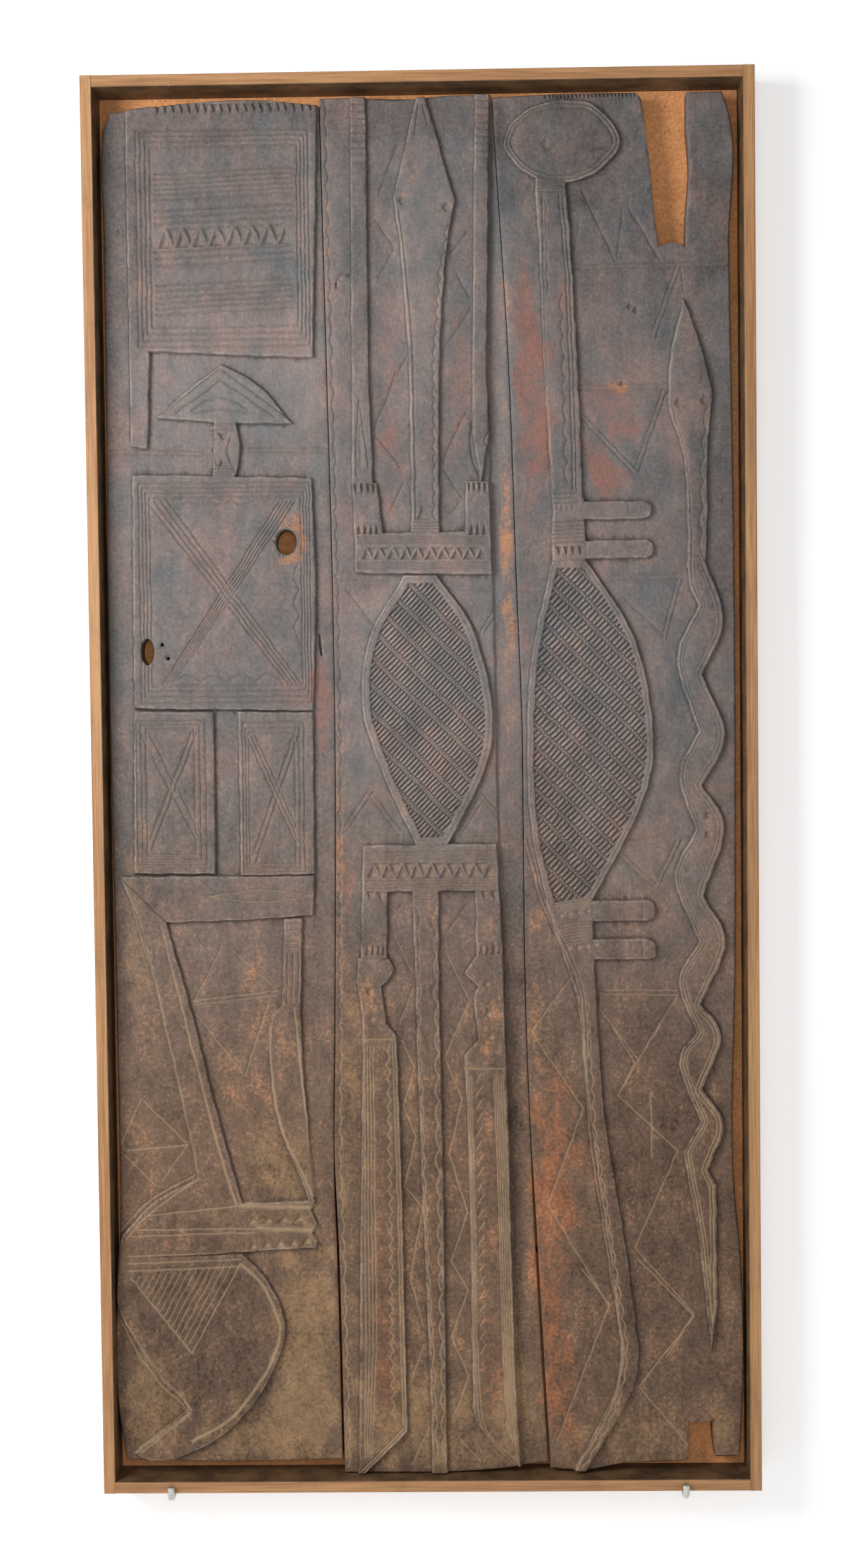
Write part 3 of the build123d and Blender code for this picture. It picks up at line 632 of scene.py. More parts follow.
# %% Left plank
LEFT_FIGURES = {
    "writing board": (
        (0.039, 1.0), ((0.343, 1.0),), ((0.331, 0.814),), ((0.072, 0.820),), ((0.067, 0.750),), ((0.040, 0.752),),
    ),
    "sunshade": (
        (0.187, 0.810), ((0.136, 0.794), (0.081, 0.772)), ((0.173, 0.769),), ((0.169, 0.728),), ((0.205, 0.728),),
        ((0.214, 0.748), (0.208, 0.768)), ((0.298, 0.767),), ((0.246, 0.794), (0.187, 0.810)),
    ),
    "large panel": (
        (0.041, 0.732), ((0.326, 0.728),), ((0.331, 0.65), (0.324, 0.560)), ((0.038, 0.563),),
    ),
    "left panel": ((0.038, 0.561), ((0.165, 0.560),), ((0.165, 0.442),), ((0.034, 0.443),)),
    "right panel": ((0.204, 0.560), ((0.324, 0.559),), ((0.323, 0.441),), ((0.205, 0.441),)),
    "foot bar": ((0.010, 0.441), ((0.322, 0.440),), ((0.320, 0.411),), ((0.200, 0.408),), ((0.084, 0.407),)),
    "leg": (
        (0.010, 0.441), ((0.047, 0.396), (0.095, 0.297), (0.131, 0.219)), ((0.134, 0.200),), ((0.199, 0.200),),
        ((0.160, 0.269), (0.124, 0.339), (0.084, 0.407)),
    ),
    "column": ((0.273, 0.409), ((0.302, 0.409),), ((0.298, 0.344),), ((0.268, 0.344),)),
    "sheath": (
        (0.268, 0.345), ((0.248, 0.330), (0.255, 0.267), (0.308, 0.201)), ((0.3155, 0.201),),
        ((0.305, 0.267), (0.299, 0.314), (0.298, 0.345)),
    ),
    "collar": (
        (0.131, 0.219), ((0.060, 0.203), (0.005, 0.178)), ((-0.01, 0.159),), ((0.317, 0.167),), ((0.320, 0.172),),
        ((0.312, 0.178),), ((0.320, 0.185),), ((0.310, 0.195),), ((0.318, 0.203),), ((0.199, 0.200),),
    ),
    "axe blade": (
        (-0.01, 0.160), ((0.197, 0.163),),
        ((0.240, 0.142), (0.266, 0.105), (0.226, 0.060), (0.161, 0.028), (0.085, 0.010)),
        ((0.045, 0.009),), ((0.017, 0.016),), ((0.110, 0.047),), ((0.034, 0.092),), ((0.006, 0.112), (-0.01, 0.135)),
    ),
}


# %% Marks of the writing board and the sunshade
BOARD_RULE_SHARES = ((0.948, 0.930, 6), (0.922, 0.913, 3), (0.893, 0.883, 3), (0.869, 0.848, 6))
RULE_TILT_SHARE = 0.002


def mark_board(work):
    """Frame lines, four bands of ruled lines that rise a little to the right, and a zigzag between two bands."""
    work.teeth((0.085, 0.996), (0.34, 0.996), (0.0, -0.008), 20)
    work.frame_lines((0.056, 0.977, 0.328, 0.823), (0.078, 0.966, 0.310, 0.837), 4)
    for top, foot, count in BOARD_RULE_SHARES:
        ends = [
            [(0.085, middle - RULE_TILT_SHARE), (0.304, middle + RULE_TILT_SHARE)] for middle in (top, foot)
        ]
        work.grooves(*ends, count)
    work.zigzag((0.086, 0.893), (0.304, 0.895), 0.015, 8)


def mark_sunshade(work):
    """Double lines under the roof's slopes, a boat of two arcs, and the marks on the post."""
    work.groove([(0.090, 0.775), (0.185, 0.807), (0.289, 0.772)])
    work.groove([(0.112, 0.775), (0.186, 0.799), (0.270, 0.772)])
    work.groove(curved([(0.138, 0.7765), (0.160, 0.7835), (0.186, 0.786), (0.210, 0.7825), (0.230, 0.7765)]))
    work.groove(curved([(0.141, 0.7755), (0.186, 0.7775), (0.238, 0.7755)]))
    work.grooves([(0.170, 0.7675), (0.203, 0.7675)], [(0.171, 0.7635), (0.204, 0.7635)], 2)
    work.chip([(0.178, 0.7615), (0.196, 0.7615), (0.187, 0.7545)])
    work.chip([(0.184, 0.7425), (0.196, 0.7365), (0.176, 0.7365)])
    work.groove(curved([(0.176, 0.757), (0.171, 0.749), (0.176, 0.738)]))
    work.groove(curved([(0.199, 0.757), (0.194, 0.749), (0.199, 0.740)]))
    work.grooves([(0.168, 0.735), (0.205, 0.735)], [(0.168, 0.7305), (0.205, 0.7305)], 3)
    work.pair([(0.228, 0.749), (0.354, 0.7478)])
    work.pair([(0.002, 0.7487), (0.158, 0.7467)])
    work.chip([(0.3345, 0.6185), (0.3385, 0.610), (0.3405, 0.599), (0.3365, 0.600), (0.333, 0.608)], 6.0 * MM)


# %% Marks of the three panels
SMALL_PANEL_SHARES = (
    ((0.042, 0.5535, 0.152, 0.4485), (0.057, 0.548, 0.134, 0.456), 3, 2, 2,
     ((0.0535, 0.546), (0.142, 0.4665)), ((0.134, 0.545), (0.059, 0.4605))),
    ((0.2115, 0.552, 0.309, 0.443), (0.221, 0.544, 0.294, 0.449), 3, 3, 2,
     ((0.224, 0.543), (0.303, 0.462)), ((0.296, 0.541), (0.224, 0.449))),
)


def mark_panels(work):
    """Each panel has a frame of nested lines and two crossed bands of lines, and the large one has scallops."""
    work.frame_lines((0.052, 0.725, 0.323, 0.5665), (0.069, 0.715, 0.309, 0.579), 4)
    work.grooves([(0.0655, 0.712), (0.287, 0.579)], [(0.096, 0.714), (0.308, 0.579)], 4)
    work.grooves([(0.2745, 0.711), (0.085, 0.580)], [(0.3006, 0.711), (0.1007, 0.580)], 5)
    work.wave([(0.3055, 0.6105), (0.3055, 0.667)], 3, (-0.0085, 0.0))
    work.wave([(0.105, 0.5815), (0.275, 0.5815)], 4, (0.0, 0.0055))
    work.wave([(0.098, 0.712), (0.235, 0.712)], 4, (0.0, -0.0025))
    for outer, inner, lines, falling, rising, fall, rise in SMALL_PANEL_SHARES:
        work.frame_lines(outer, inner, lines)
        for part in np.linspace(-0.5, 0.5, falling):
            work.groove(np.asarray(fall) + (part * 0.013, 0.0))
        for part in np.linspace(-0.5, 0.5, rising):
            work.groove(np.asarray(rise) + (part * 0.009, 0.0))


# %% Marks from the foot bar to the axe
LEFT_SCRATCH_SHARES = (
    ((0.170, 0.388), (0.1245, 0.347)), ((0.187, 0.386), (0.261, 0.3555)), ((0.124, 0.342), (0.201, 0.296)),
    ((0.247, 0.3505), (0.206, 0.294)), ((0.2715, 0.3475), (0.246, 0.335)), ((0.037, 0.277), (0.005, 0.244)),
    ((0.041, 0.276), (0.109, 0.245)), ((0.0135, 0.240), (0.111, 0.243)), ((0.009, 0.236), (0.0595, 0.2135)),
    ((0.109, 0.242), (0.069, 0.217)),
)
LEG_LINE_SHARES = (
    ((0.028, 0.418), (0.065, 0.359), (0.101, 0.285), (0.129, 0.219)),
    ((0.075, 0.405), (0.122, 0.316), (0.161, 0.243), (0.189, 0.200)),
)
SHEATH_LINE_SHARES = (
    ((0.246, 0.332), (0.259, 0.265), (0.311, 0.207)), ((0.287, 0.344), (0.304, 0.259), (0.316, 0.205)),
)
STRAP_LINE_SHARES = (
    ((0.122, 0.221), (0.061, 0.206), (0.023, 0.1915), (0.001, 0.178)),
    ((0.131, 0.219), (0.079, 0.204), (0.0355, 0.188), (0.0115, 0.175)),
)


def mark_legs(work):
    """A long leaf on the foot bar, rings on the column, lines down the legs, and thin scratches on the ground."""
    for middle in (0.430, 0.4215):
        work.groove(curved([(0.151, 0.4256), (0.235, middle), (0.318, 0.426)]), 4.0 * MM, 1.8 * MM)
    work.grooves([(0.273, 0.4046), (0.302, 0.4046)], [(0.272, 0.387), (0.301, 0.387)], 5, 3.6 * MM, 1.8 * MM)
    work.grooves([(0.279, 0.384), (0.277, 0.348)], [(0.297, 0.384), (0.294, 0.348)], 3)
    for shares in LEG_LINE_SHARES + SHEATH_LINE_SHARES:
        work.groove(curved(shares), 5.0 * MM, 1.5 * MM)
    for shares in STRAP_LINE_SHARES:
        work.groove(curved(shares), 3.4 * MM, 1.7 * MM)
    for shares in LEFT_SCRATCH_SHARES:
        work.groove(shares, SCRATCH_WIDTH, SCRATCH_DEPTH)
    work.pair([(0.1226, 0.348), (0.261, 0.3546)], 5.5 * MM)


def mark_collar(work):
    """Two bevelled bands with a row of triangles under each, and three long lines to the left of them."""
    for band in ([(0.195, 0.199), (0.319, 0.1975)], [(0.221, 0.1825), (0.320, 0.1805)]):
        work.groove(band, 9.0 * MM, 2.8 * MM)
    for left, right in (((0.048, 0.192), (0.193, 0.199)), ((0.027, 0.1815), (0.219, 0.182)),
                        ((0.019, 0.177), (0.2185, 0.179))):
        work.groove([left, right], 3.0 * MM, 1.9 * MM)
    work.grooves([(0.013, 0.162), (0.195, 0.1645)], [(0.013, 0.151), (0.195, 0.154)], 3)
    for start, end, rise, count in (((0.203, 0.184), (0.303, 0.1865), 0.0065, 4),
                                    ((0.205, 0.1655), (0.314, 0.1695), 0.0075, 5)):
        work.teeth(start, end, (0.0, rise), count)
    for up in (0.193, 0.176):
        work.groove([(0.322, up + 0.004), (0.314, up), (0.322, up - 0.004)])


def mark_axe(work):
    """A hatched triangle on the blade, and a broad line that follows the blade's edge."""
    top = np.array([(0.017, 0.146), (0.1945, 0.156)])
    point = np.array((0.114, 0.090))
    work.groove([top[0], point, top[1]], 3.4 * MM, 1.7 * MM)
    for part in np.linspace(0.08, 0.92, 14):
        start = top[0] + (top[1] - top[0]) * part
        side = top[0] + (point - top[0]) * part
        work.groove([start, side], 2.8 * MM, 1.8 * MM)
    work.groove(curved([
        (0.1965, 0.155), (0.230, 0.140), (0.252, 0.117), (0.256, 0.104), (0.242, 0.083), (0.218, 0.065),
        (0.175, 0.041), (0.1135, 0.025),
    ]), 6.0 * MM, 1.5 * MM)
    work.pair([(0.003, 0.114), (0.0295, 0.089), (0.063, 0.068), (0.110, 0.047)], 7.0 * MM)
    work.pair([(0.110, 0.047), (0.028, 0.018)], 5.0 * MM)


def carve_left(work):
    """The figures of the left plank, and then the marks on them."""
    for steps in LEFT_FIGURES.values():
        work.raise_figure(drawn(*steps))
    for marks in (mark_board, mark_sunshade, mark_panels, mark_legs, mark_collar, mark_axe):
        marks(work)


# %% Middle plank
MIDDLE_FIGURES = {
    "left shaft": (
        (0.395, 1.0), ((0.419, 1.0),), ((0.419, 0.805),), ((0.424, 0.724),), ((0.390, 0.724),), ((0.392, 0.805),),
    ),
    "right shaft": (
        (0.591, 1.0), ((0.614, 1.0),), ((0.605, 0.804),), ((0.609, 0.758),), ((0.595, 0.722),),
        ((0.582, 0.757),), ((0.586, 0.879),),
    ),
    "sword": (
        (0.500, 1.0), ((0.512, 1.0),), ((0.558, 0.925),), ((0.542, 0.882), (0.531, 0.80), (0.528, 0.686)),
        ((0.484, 0.686),), ((0.483, 0.80), (0.473, 0.882), (0.461, 0.927)),
    ),
    "upper bracket": (
        (0.391, 0.725), ((0.430, 0.724),), ((0.439, 0.688),), ((0.569, 0.688),), ((0.570, 0.724),),
        ((0.608, 0.724),), ((0.611, 0.657),), ((0.394, 0.659),),
    ),
    "lower bracket": (
        (0.400, 0.462), ((0.614, 0.462),), ((0.617, 0.428),), ((0.625, 0.379),), ((0.579, 0.379),),
        ((0.579, 0.428),), ((0.439, 0.428),), ((0.437, 0.379),), ((0.395, 0.379),),
    ),
    "ringed strip": (
        (0.479, 0.429), ((0.521, 0.429),), ((0.520, 0.349), (0.523, 0.221), (0.525, -0.01)), ((0.501, -0.01),),
        ((0.497, 0.085), (0.488, 0.221), (0.479, 0.429)),
    ),
    "left scabbard": (
        (0.390, 0.380), ((0.440, 0.379),), ((0.447, 0.371), (0.437, 0.362)), ((0.428, 0.359),), ((0.435, 0.332),),
        ((0.450, 0.323),), ((0.451, 0.317),), ((0.455, 0.257), (0.458, 0.162), (0.461, 0.030)),
        ((0.392, -0.001),), ((0.380, -0.01),), ((0.382, 0.010),), ((0.388, 0.163), (0.396, 0.318), (0.388, 0.362)),
    ),
    "right scabbard": (
        (0.578, 0.380), ((0.625, 0.380),), ((0.623, 0.349), (0.628, 0.268), (0.636, 0.085), (0.643, 0.002)),
        ((0.591, 0.026),), ((0.572, 0.036), (0.566, 0.048)), ((0.567, 0.085), (0.565, 0.235), (0.559, 0.304)),
        ((0.559, 0.308),), ((0.582, 0.320),), ((0.575, 0.349), (0.582, 0.358)), ((0.558, 0.368),),
    ),
}
MIDDLE_LEAF = (
    (0.471, 0.657), ((0.523, 0.657),), ((0.579, 0.619), (0.610, 0.561), (0.597, 0.516), (0.537, 0.462)),
    ((0.486, 0.461),), ((0.429, 0.519), (0.402, 0.565), (0.415, 0.613), (0.471, 0.657)),
)
TROUGH_LEFT = ((-0.01, 0.646), (0.268, 0.629), (0.45, 0.617), (0.66, 0.612), (0.80, 0.607), (1.01, 0.617))
TROUGH_DEPTH = 4.0 * MM


# %% Marks of the shafts and the sword
MIDDLE_SCRATCH_SHARES = (
    ((0.468, 0.9646), (0.438, 0.9302)), ((0.462, 0.891), (0.435, 0.8705)), ((0.478, 0.8135), (0.425, 0.7624)),
    ((0.433, 0.912), (0.461, 0.893)), ((0.578, 0.903), (0.548, 0.885)), ((0.581, 0.848), (0.537, 0.818)),
    ((0.561, 0.872), (0.581, 0.856)), ((0.463, 0.803), (0.427, 0.7616)), ((0.428, 0.759), (0.469, 0.7345)),
    ((0.472, 0.724), (0.452, 0.704)), ((0.573, 0.774), (0.535, 0.7395)), ((0.539, 0.732), (0.565, 0.712)),
    ((0.562, 0.7094), (0.543, 0.700)), ((0.378, 0.649), (0.419, 0.623)), ((0.550, 0.6427), (0.591, 0.612)),
    ((0.461, 0.418), (0.444, 0.408)), ((0.446, 0.398), (0.477, 0.368)), ((0.477, 0.357), (0.456, 0.332)),
    ((0.458, 0.319), (0.478, 0.299), (0.460, 0.270), (0.479, 0.248), (0.460, 0.211), (0.489, 0.196),
     (0.468, 0.143), (0.487, 0.109)),
    ((0.489, 0.095), (0.465, 0.064)), ((0.496, 0.033), (0.467, 0.006)), ((0.568, 0.419), (0.530, 0.395)),
    ((0.530, 0.384), (0.567, 0.348), (0.527, 0.306), (0.554, 0.275), (0.532, 0.235), (0.561, 0.192),
     (0.534, 0.156), (0.560, 0.134), (0.533, 0.100), (0.560, 0.071), (0.535, 0.040)),
    ((0.541, 0.026), (0.578, 0.007)),
)
MIDDLE_PAIR_SHARES = (
    ((0.369, 0.6525), (0.451, 0.6518)), ((0.550, 0.6474), (0.632, 0.6469)), ((0.632, 0.6411), (0.594, 0.6145)),
    ((0.416, 0.502), (0.373, 0.473)), ((0.418, 0.497), (0.464, 0.469)), ((0.588, 0.498), (0.649, 0.469)),
    ((0.591, 0.494), (0.555, 0.470)), ((0.555, 0.468), (0.656, 0.468)), ((0.370, 0.473), (0.461, 0.469)),
)


def mark_shafts(work):
    """Rings at the top of both shafts, a leaf at the foot of the left one and a spear head on the right one."""
    work.grooves([(0.396, 0.9945), (0.419, 0.994)], [(0.396, 0.953), (0.418, 0.953)], 9, 4.0 * MM, 1.7 * MM)
    work.grooves([(0.592, 0.9955), (0.613, 0.995)], [(0.591, 0.955), (0.611, 0.9545)], 9, 4.0 * MM, 1.7 * MM)
    work.groove([(0.398, 0.730), (0.3985, 0.754), (0.403, 0.784), (0.411, 0.759), (0.417, 0.735)])
    work.chip([(0.400, 0.730), (0.403, 0.782), (0.413, 0.735)], 1.4 * MM)
    work.groove(curved([(0.586, 0.775), (0.578, 0.755), (0.583, 0.738), (0.595, 0.725)]))
    work.groove([(0.608, 0.760), (0.601, 0.7535), (0.607, 0.747)])


def mark_sword(work):
    """Rings and a pit at the sword's foot, a line beside its left edge, bows beside its right one, two diamonds."""
    work.grooves([(0.486, 0.695), (0.527, 0.695)], [(0.486, 0.688), (0.528, 0.688)], 4)
    work.chip([(0.491, 0.6965), (0.517, 0.6965), (0.502, 0.707)])
    work.groove(curved([(0.470, 0.917), (0.4815, 0.870), (0.489, 0.815), (0.491, 0.75), (0.491, 0.697)]))
    work.groove([(0.503, 0.993), (0.496, 0.972)])
    work.groove([(0.510, 0.993), (0.516, 0.978)])
    work.wave([(0.549, 0.907), (0.536, 0.870), (0.530, 0.838), (0.525, 0.811), (0.523, 0.697)], 22, (-0.0045, 0.0))
    work.diamonds([(0.475, 0.9245), (0.544, 0.9196)], 0.0085, 0.0042)
    work.wave([(u + 0.0065, v) for v, u in LEFT_SEAM_SHARES], 64, (0.0042, 0.0))
    work.chip([(0.366, 0.868), (0.371, 0.868), (0.369, 0.862)], 4.0 * MM)
    work.groove(curved([(0.369, 0.869), (0.379, 0.874), (0.390, 0.873)]))


# %% Marks of the two brackets and the leaf between them


def mark_brackets(work):
    """Ruled lines with a zigzag between them, and teeth on the posts."""
    work.grooves([(0.398, 0.685), (0.606, 0.684)], [(0.399, 0.681), (0.606, 0.680)], 3)
    work.zigzag((0.402, 0.6685), (0.604, 0.6675), 0.0092, 10)
    work.grooves([(0.399, 0.6665), (0.606, 0.6655)], [(0.400, 0.6625), (0.607, 0.6615)], 3)
    work.grooves([(0.404, 0.4555), (0.613, 0.457)], [(0.403, 0.451), (0.613, 0.4525)], 3)
    work.zigzag((0.405, 0.4375), (0.613, 0.437), 0.0118, 9)
    work.grooves([(0.404, 0.4355), (0.614, 0.435)], [(0.404, 0.430), (0.614, 0.431)], 3)
    for start, end, rise, count in (
        ((0.392, 0.7235), (0.430, 0.7235), -0.009, 4), ((0.571, 0.7235), (0.607, 0.7235), -0.009, 4),
        ((0.396, 0.6866), (0.434, 0.6866), 0.008, 4), ((0.574, 0.6855), (0.605, 0.6855), 0.009, 3),
        ((0.404, 0.4285), (0.437, 0.4285), -0.008, 2), ((0.587, 0.4285), (0.617, 0.4285), -0.008, 2),
        ((0.401, 0.3815), (0.437, 0.3815), 0.009, 4), ((0.583, 0.3815), (0.623, 0.3815), 0.009, 4),
    ):
        work.teeth(start, end, (0.0, rise), count)


LEAF_FIELD_DEPTH = 1.2 * MM
LEAF_LEAN = math.radians(45)


def mark_middle_leaf(work):
    """A rim with one line, and inside it a sunk field with the woven pattern."""
    line = spots(drawn(*MIDDLE_LEAF))
    work.inner_lines(drawn(*MIDDLE_LEAF), (4.5 * MM,), 2.4 * MM, 0.9 * MM)
    work.lattice(line, 10.0 * MM, LEAF_LEAN, 25.0 * MM, 5.1 * MM, LEAF_FIELD_DEPTH)
    for shares in MIDDLE_SCRATCH_SHARES:
        work.groove(shares, SCRATCH_WIDTH, SCRATCH_DEPTH)
    for shares in MIDDLE_PAIR_SHARES:
        work.pair(shares, 6.0 * MM, SCRATCH_WIDTH, SCRATCH_DEPTH)


# %% Marks of the strip and the two scabbards
STEP_WIDTH = 5.0 * MM
STEP_DEPTH = 2.6 * MM
FINE_WIDTH = 2.6 * MM
FINE_DEPTH = 1.6 * MM


def mark_strip(work):
    """Rings at the top of the strip, and a row of bows down each side of it."""
    work.grooves([(0.481, 0.426), (0.520, 0.426)], [(0.480, 0.417), (0.519, 0.417)], 5)
    work.wave([(0.486, 0.416), (0.485, 0.332), (0.489, 0.252), (0.493, 0.167), (0.501, 0.09), (0.505, 0.01)],
              23, (0.004, 0.0))
    work.wave([(0.516, 0.416), (0.517, 0.332), (0.517, 0.252), (0.519, 0.167), (0.521, 0.01)], 23, (-0.006, 0.0))


def mark_scabbards(work):
    """Bundles of lines down both scabbards, a zigzag on the left one and slanted dashes on the right one."""
    work.groove([(0.393, 0.3205), (0.4515, 0.3205)], STEP_WIDTH, STEP_DEPTH)
    work.groove([(0.559, 0.2985), (0.6265, 0.2985)], STEP_WIDTH, STEP_DEPTH)
    work.grooves(
        [(0.3985, 0.316), (0.3965, 0.20), (0.395, 0.097), (0.391, 0.012)],
        [(0.412, 0.316), (0.4125, 0.20), (0.413, 0.097), (0.402, 0.012)], 4, FINE_WIDTH, FINE_DEPTH,
    )
    work.wave([(0.433, 0.317), (0.434, 0.201), (0.433, 0.086), (0.435, 0.04)], 27, (0.0065, 0.0), sharp=True)
    work.pair([(0.4455, 0.317), (0.4515, 0.201), (0.453, 0.086), (0.456, 0.036)], 3.6 * MM)
    work.pair([(0.4545, 0.032), (0.3885, 0.0015)], 3.6 * MM)
    work.grooves(
        [(0.562, 0.293), (0.567, 0.20), (0.5675, 0.097), (0.569, 0.066)],
        [(0.569, 0.293), (0.573, 0.20), (0.5745, 0.097), (0.577, 0.066)], 3, FINE_WIDTH, FINE_DEPTH,
    )
    work.grooves(
        [(0.606, 0.294), (0.611, 0.20), (0.615, 0.097), (0.621, 0.03)],
        [(0.6205, 0.294), (0.6265, 0.20), (0.6305, 0.097), (0.634, 0.02)], 5, FINE_WIDTH, FINE_DEPTH,
    )
    for part in np.linspace(0, 1, 21):
        across, up = 0.580 + 0.004 * part, 0.292 - 0.20 * part
        work.groove([(across - 0.004, up - 0.003), (across + 0.004, up + 0.003)], 3.4 * MM, 1.8 * MM)
    for shift in (0.0, 0.006):
        work.groove(curved([(0.570 + shift, 0.066), (0.578 + shift, 0.036), (0.600 + shift, 0.020),
                            (0.632 + shift, 0.005)]))
    work.diamonds([(0.410, 0.355), (0.412, 0.335), (0.597, 0.360), (0.599, 0.338), (0.602, 0.321)], 0.0085, 0.004)


# %% Cut the middle plank
TROUGH_RISE_SHARE = 0.75


def carve_middle(work):
    """The figures of the middle plank and their marks; then the smooth trough at its right edge.

    The trough is deepest at its left wall, and rises as a square of the way to the seam."""
    for steps in MIDDLE_FIGURES.values():
        work.raise_figure(drawn(*steps))
    work.raise_figure(drawn(*MIDDLE_LEAF))
    for marks in (mark_shafts, mark_sword, mark_brackets, mark_middle_leaf, mark_strip, mark_scabbards):
        marks(work)
    up = (work.z - LEAF_FOOT) / LEAF_HEIGHT
    left = (eased(TROUGH_LEFT, up) - 0.5) * LEAF_WIDTH
    past = work.x - left
    way = np.clip(past / (work.x[:, -1:] - left), 0, 1)
    hollow = step_up(past, -1.5 * MM, 3.5 * MM)
    work.cuts *= 1 - hollow
    work.lines *= 1 - hollow
    work.height = work.height * (1 - hollow) - TROUGH_DEPTH * hollow * (1 - TROUGH_RISE_SHARE * way ** 2)


# %% Right plank
RIGHT_FIGURES = {
    "fan": (
        (0.727, 0.9955), ((0.781, 0.990), (0.819, 0.966), (0.785, 0.944), (0.726, 0.936), (0.668, 0.944),
                          (0.636, 0.965), (0.668, 0.987), (0.727, 0.9955)),
    ),
    "fan blade": (
        (0.687, 0.945), ((0.731, 0.945),), ((0.740, 0.893), (0.750, 0.80), (0.756, 0.705)), ((0.708, 0.705),),
        ((0.699, 0.78), (0.692, 0.87), (0.685, 0.930)),
    ),
    "upper hilt": ((0.708, 0.712), ((0.757, 0.712),), ((0.761, 0.664),), ((0.706, 0.664),)),
    "sabre and its hilt": (
        (0.690, 0.421), ((0.766, 0.421),), ((0.768, 0.374),),
        ((0.776, 0.303), (0.785, 0.254), (0.816, 0.162), (0.835, 0.088)),
        ((0.831, 0.068),), ((0.808, 0.045),), ((0.749, 0.001),), ((0.742, -0.01),), ((0.730, 0.001),),
        ((0.792, 0.055),), ((0.806, 0.080), (0.806, 0.093)), ((0.791, 0.152), (0.761, 0.254), (0.742, 0.345)),
        ((0.722, 0.375),),
    ),
    "lozenge blade": (
        (0.917, 0.853), ((0.943, 0.820), (0.962, 0.786)), ((0.953, 0.737), (0.953, 0.70), (0.949, 0.660)),
        ((0.920, 0.660),), ((0.921, 0.70), (0.916, 0.74), (0.892, 0.775)), ((0.895, 0.81), (0.917, 0.853)),
    ),
}
RIGHT_LEAF = (
    (0.706, 0.666), ((0.762, 0.666),), ((0.838, 0.608), (0.865, 0.539), (0.846, 0.490), (0.765, 0.419)),
    ((0.697, 0.413),), ((0.672, 0.465), (0.664, 0.520), (0.672, 0.595), (0.706, 0.666)),
)
PEG_BOXES = (
    ((0.755, 0.7085), (0.863, 0.6955)), ((0.759, 0.6805), (0.866, 0.6675)),
    ((0.765, 0.420), (0.865, 0.405)), ((0.765, 0.392), (0.866, 0.377)),
)
SNAKE = (
    (0.946, 0.672), ((0.921, 0.672),), ((0.923, 0.646),), ((0.938, 0.633),),
    ((0.903, 0.595), (0.936, 0.542)), ((0.905, 0.511), (0.931, 0.471)), ((0.897, 0.436), (0.935, 0.390)),
    ((0.902, 0.360), (0.930, 0.324)), ((0.902, 0.301), (0.935, 0.258)), ((0.907, 0.236),), ((0.930, 0.177),),
    ((0.938, 0.144),), ((0.951, 0.088),), ((0.961, 0.118),), ((0.961, 0.211),), ((0.948, 0.223),),
    ((0.973, 0.256), (0.939, 0.282)), ((0.970, 0.320), (0.938, 0.344)), ((0.978, 0.389), (0.943, 0.423)),
    ((0.977, 0.472), (0.942, 0.503)), ((0.979, 0.539), (0.943, 0.583)), ((0.977, 0.622), (0.946, 0.669)),
)


# %% Marks of the fan and its blade
RIGHT_SCRATCH_SHARES = (
    ((0.759, 0.930), (0.811, 0.881)), ((0.756, 0.9116), (0.747, 0.889)), ((0.831, 0.920), (0.881, 0.8805)),
    ((0.823, 0.9166), (0.814, 0.882)), ((0.914, 0.874), (0.918, 0.858)), ((0.817, 0.640), (0.883, 0.612)),
    ((0.779, 0.350), (0.777, 0.340), (0.837, 0.303)), ((0.899, 0.349), (0.837, 0.303)),
    ((0.870, 0.329), (0.804, 0.277)), ((0.732, 0.365), (0.666, 0.325)), ((0.856, 0.279), (0.858, 0.231)),
    ((0.793, 0.330), (0.831, 0.301), (0.804, 0.277), (0.899, 0.236), (0.829, 0.165), (0.923, 0.116),
     (0.879, 0.084)),
    ((0.704, 0.348), (0.666, 0.324), (0.748, 0.268), (0.690, 0.197), (0.787, 0.122), (0.702, 0.022)),
    ((0.743, 0.150), (0.788, 0.123)), ((0.833, 0.157), (0.923, 0.114), (0.834, 0.062), (0.911, 0.019)),
)
RIGHT_PAIR_SHARES = (
    ((0.746, 0.877), (0.989, 0.878)), ((0.753, 0.7905), (0.888, 0.791)), ((0.9105, 0.876), (0.869, 0.825)),
    ((0.888, 0.788), (0.842, 0.731)), ((0.755, 0.771), (0.840, 0.730)), ((0.803, 0.6535), (0.915, 0.6545)),
    ((0.909, 0.652), (0.884, 0.609)), ((0.825, 0.466), (0.906, 0.466)), ((0.907, 0.464), (0.869, 0.429)),
    ((0.814, 0.453), (0.869, 0.430)), ((0.776, 0.353), (0.900, 0.352)),
)


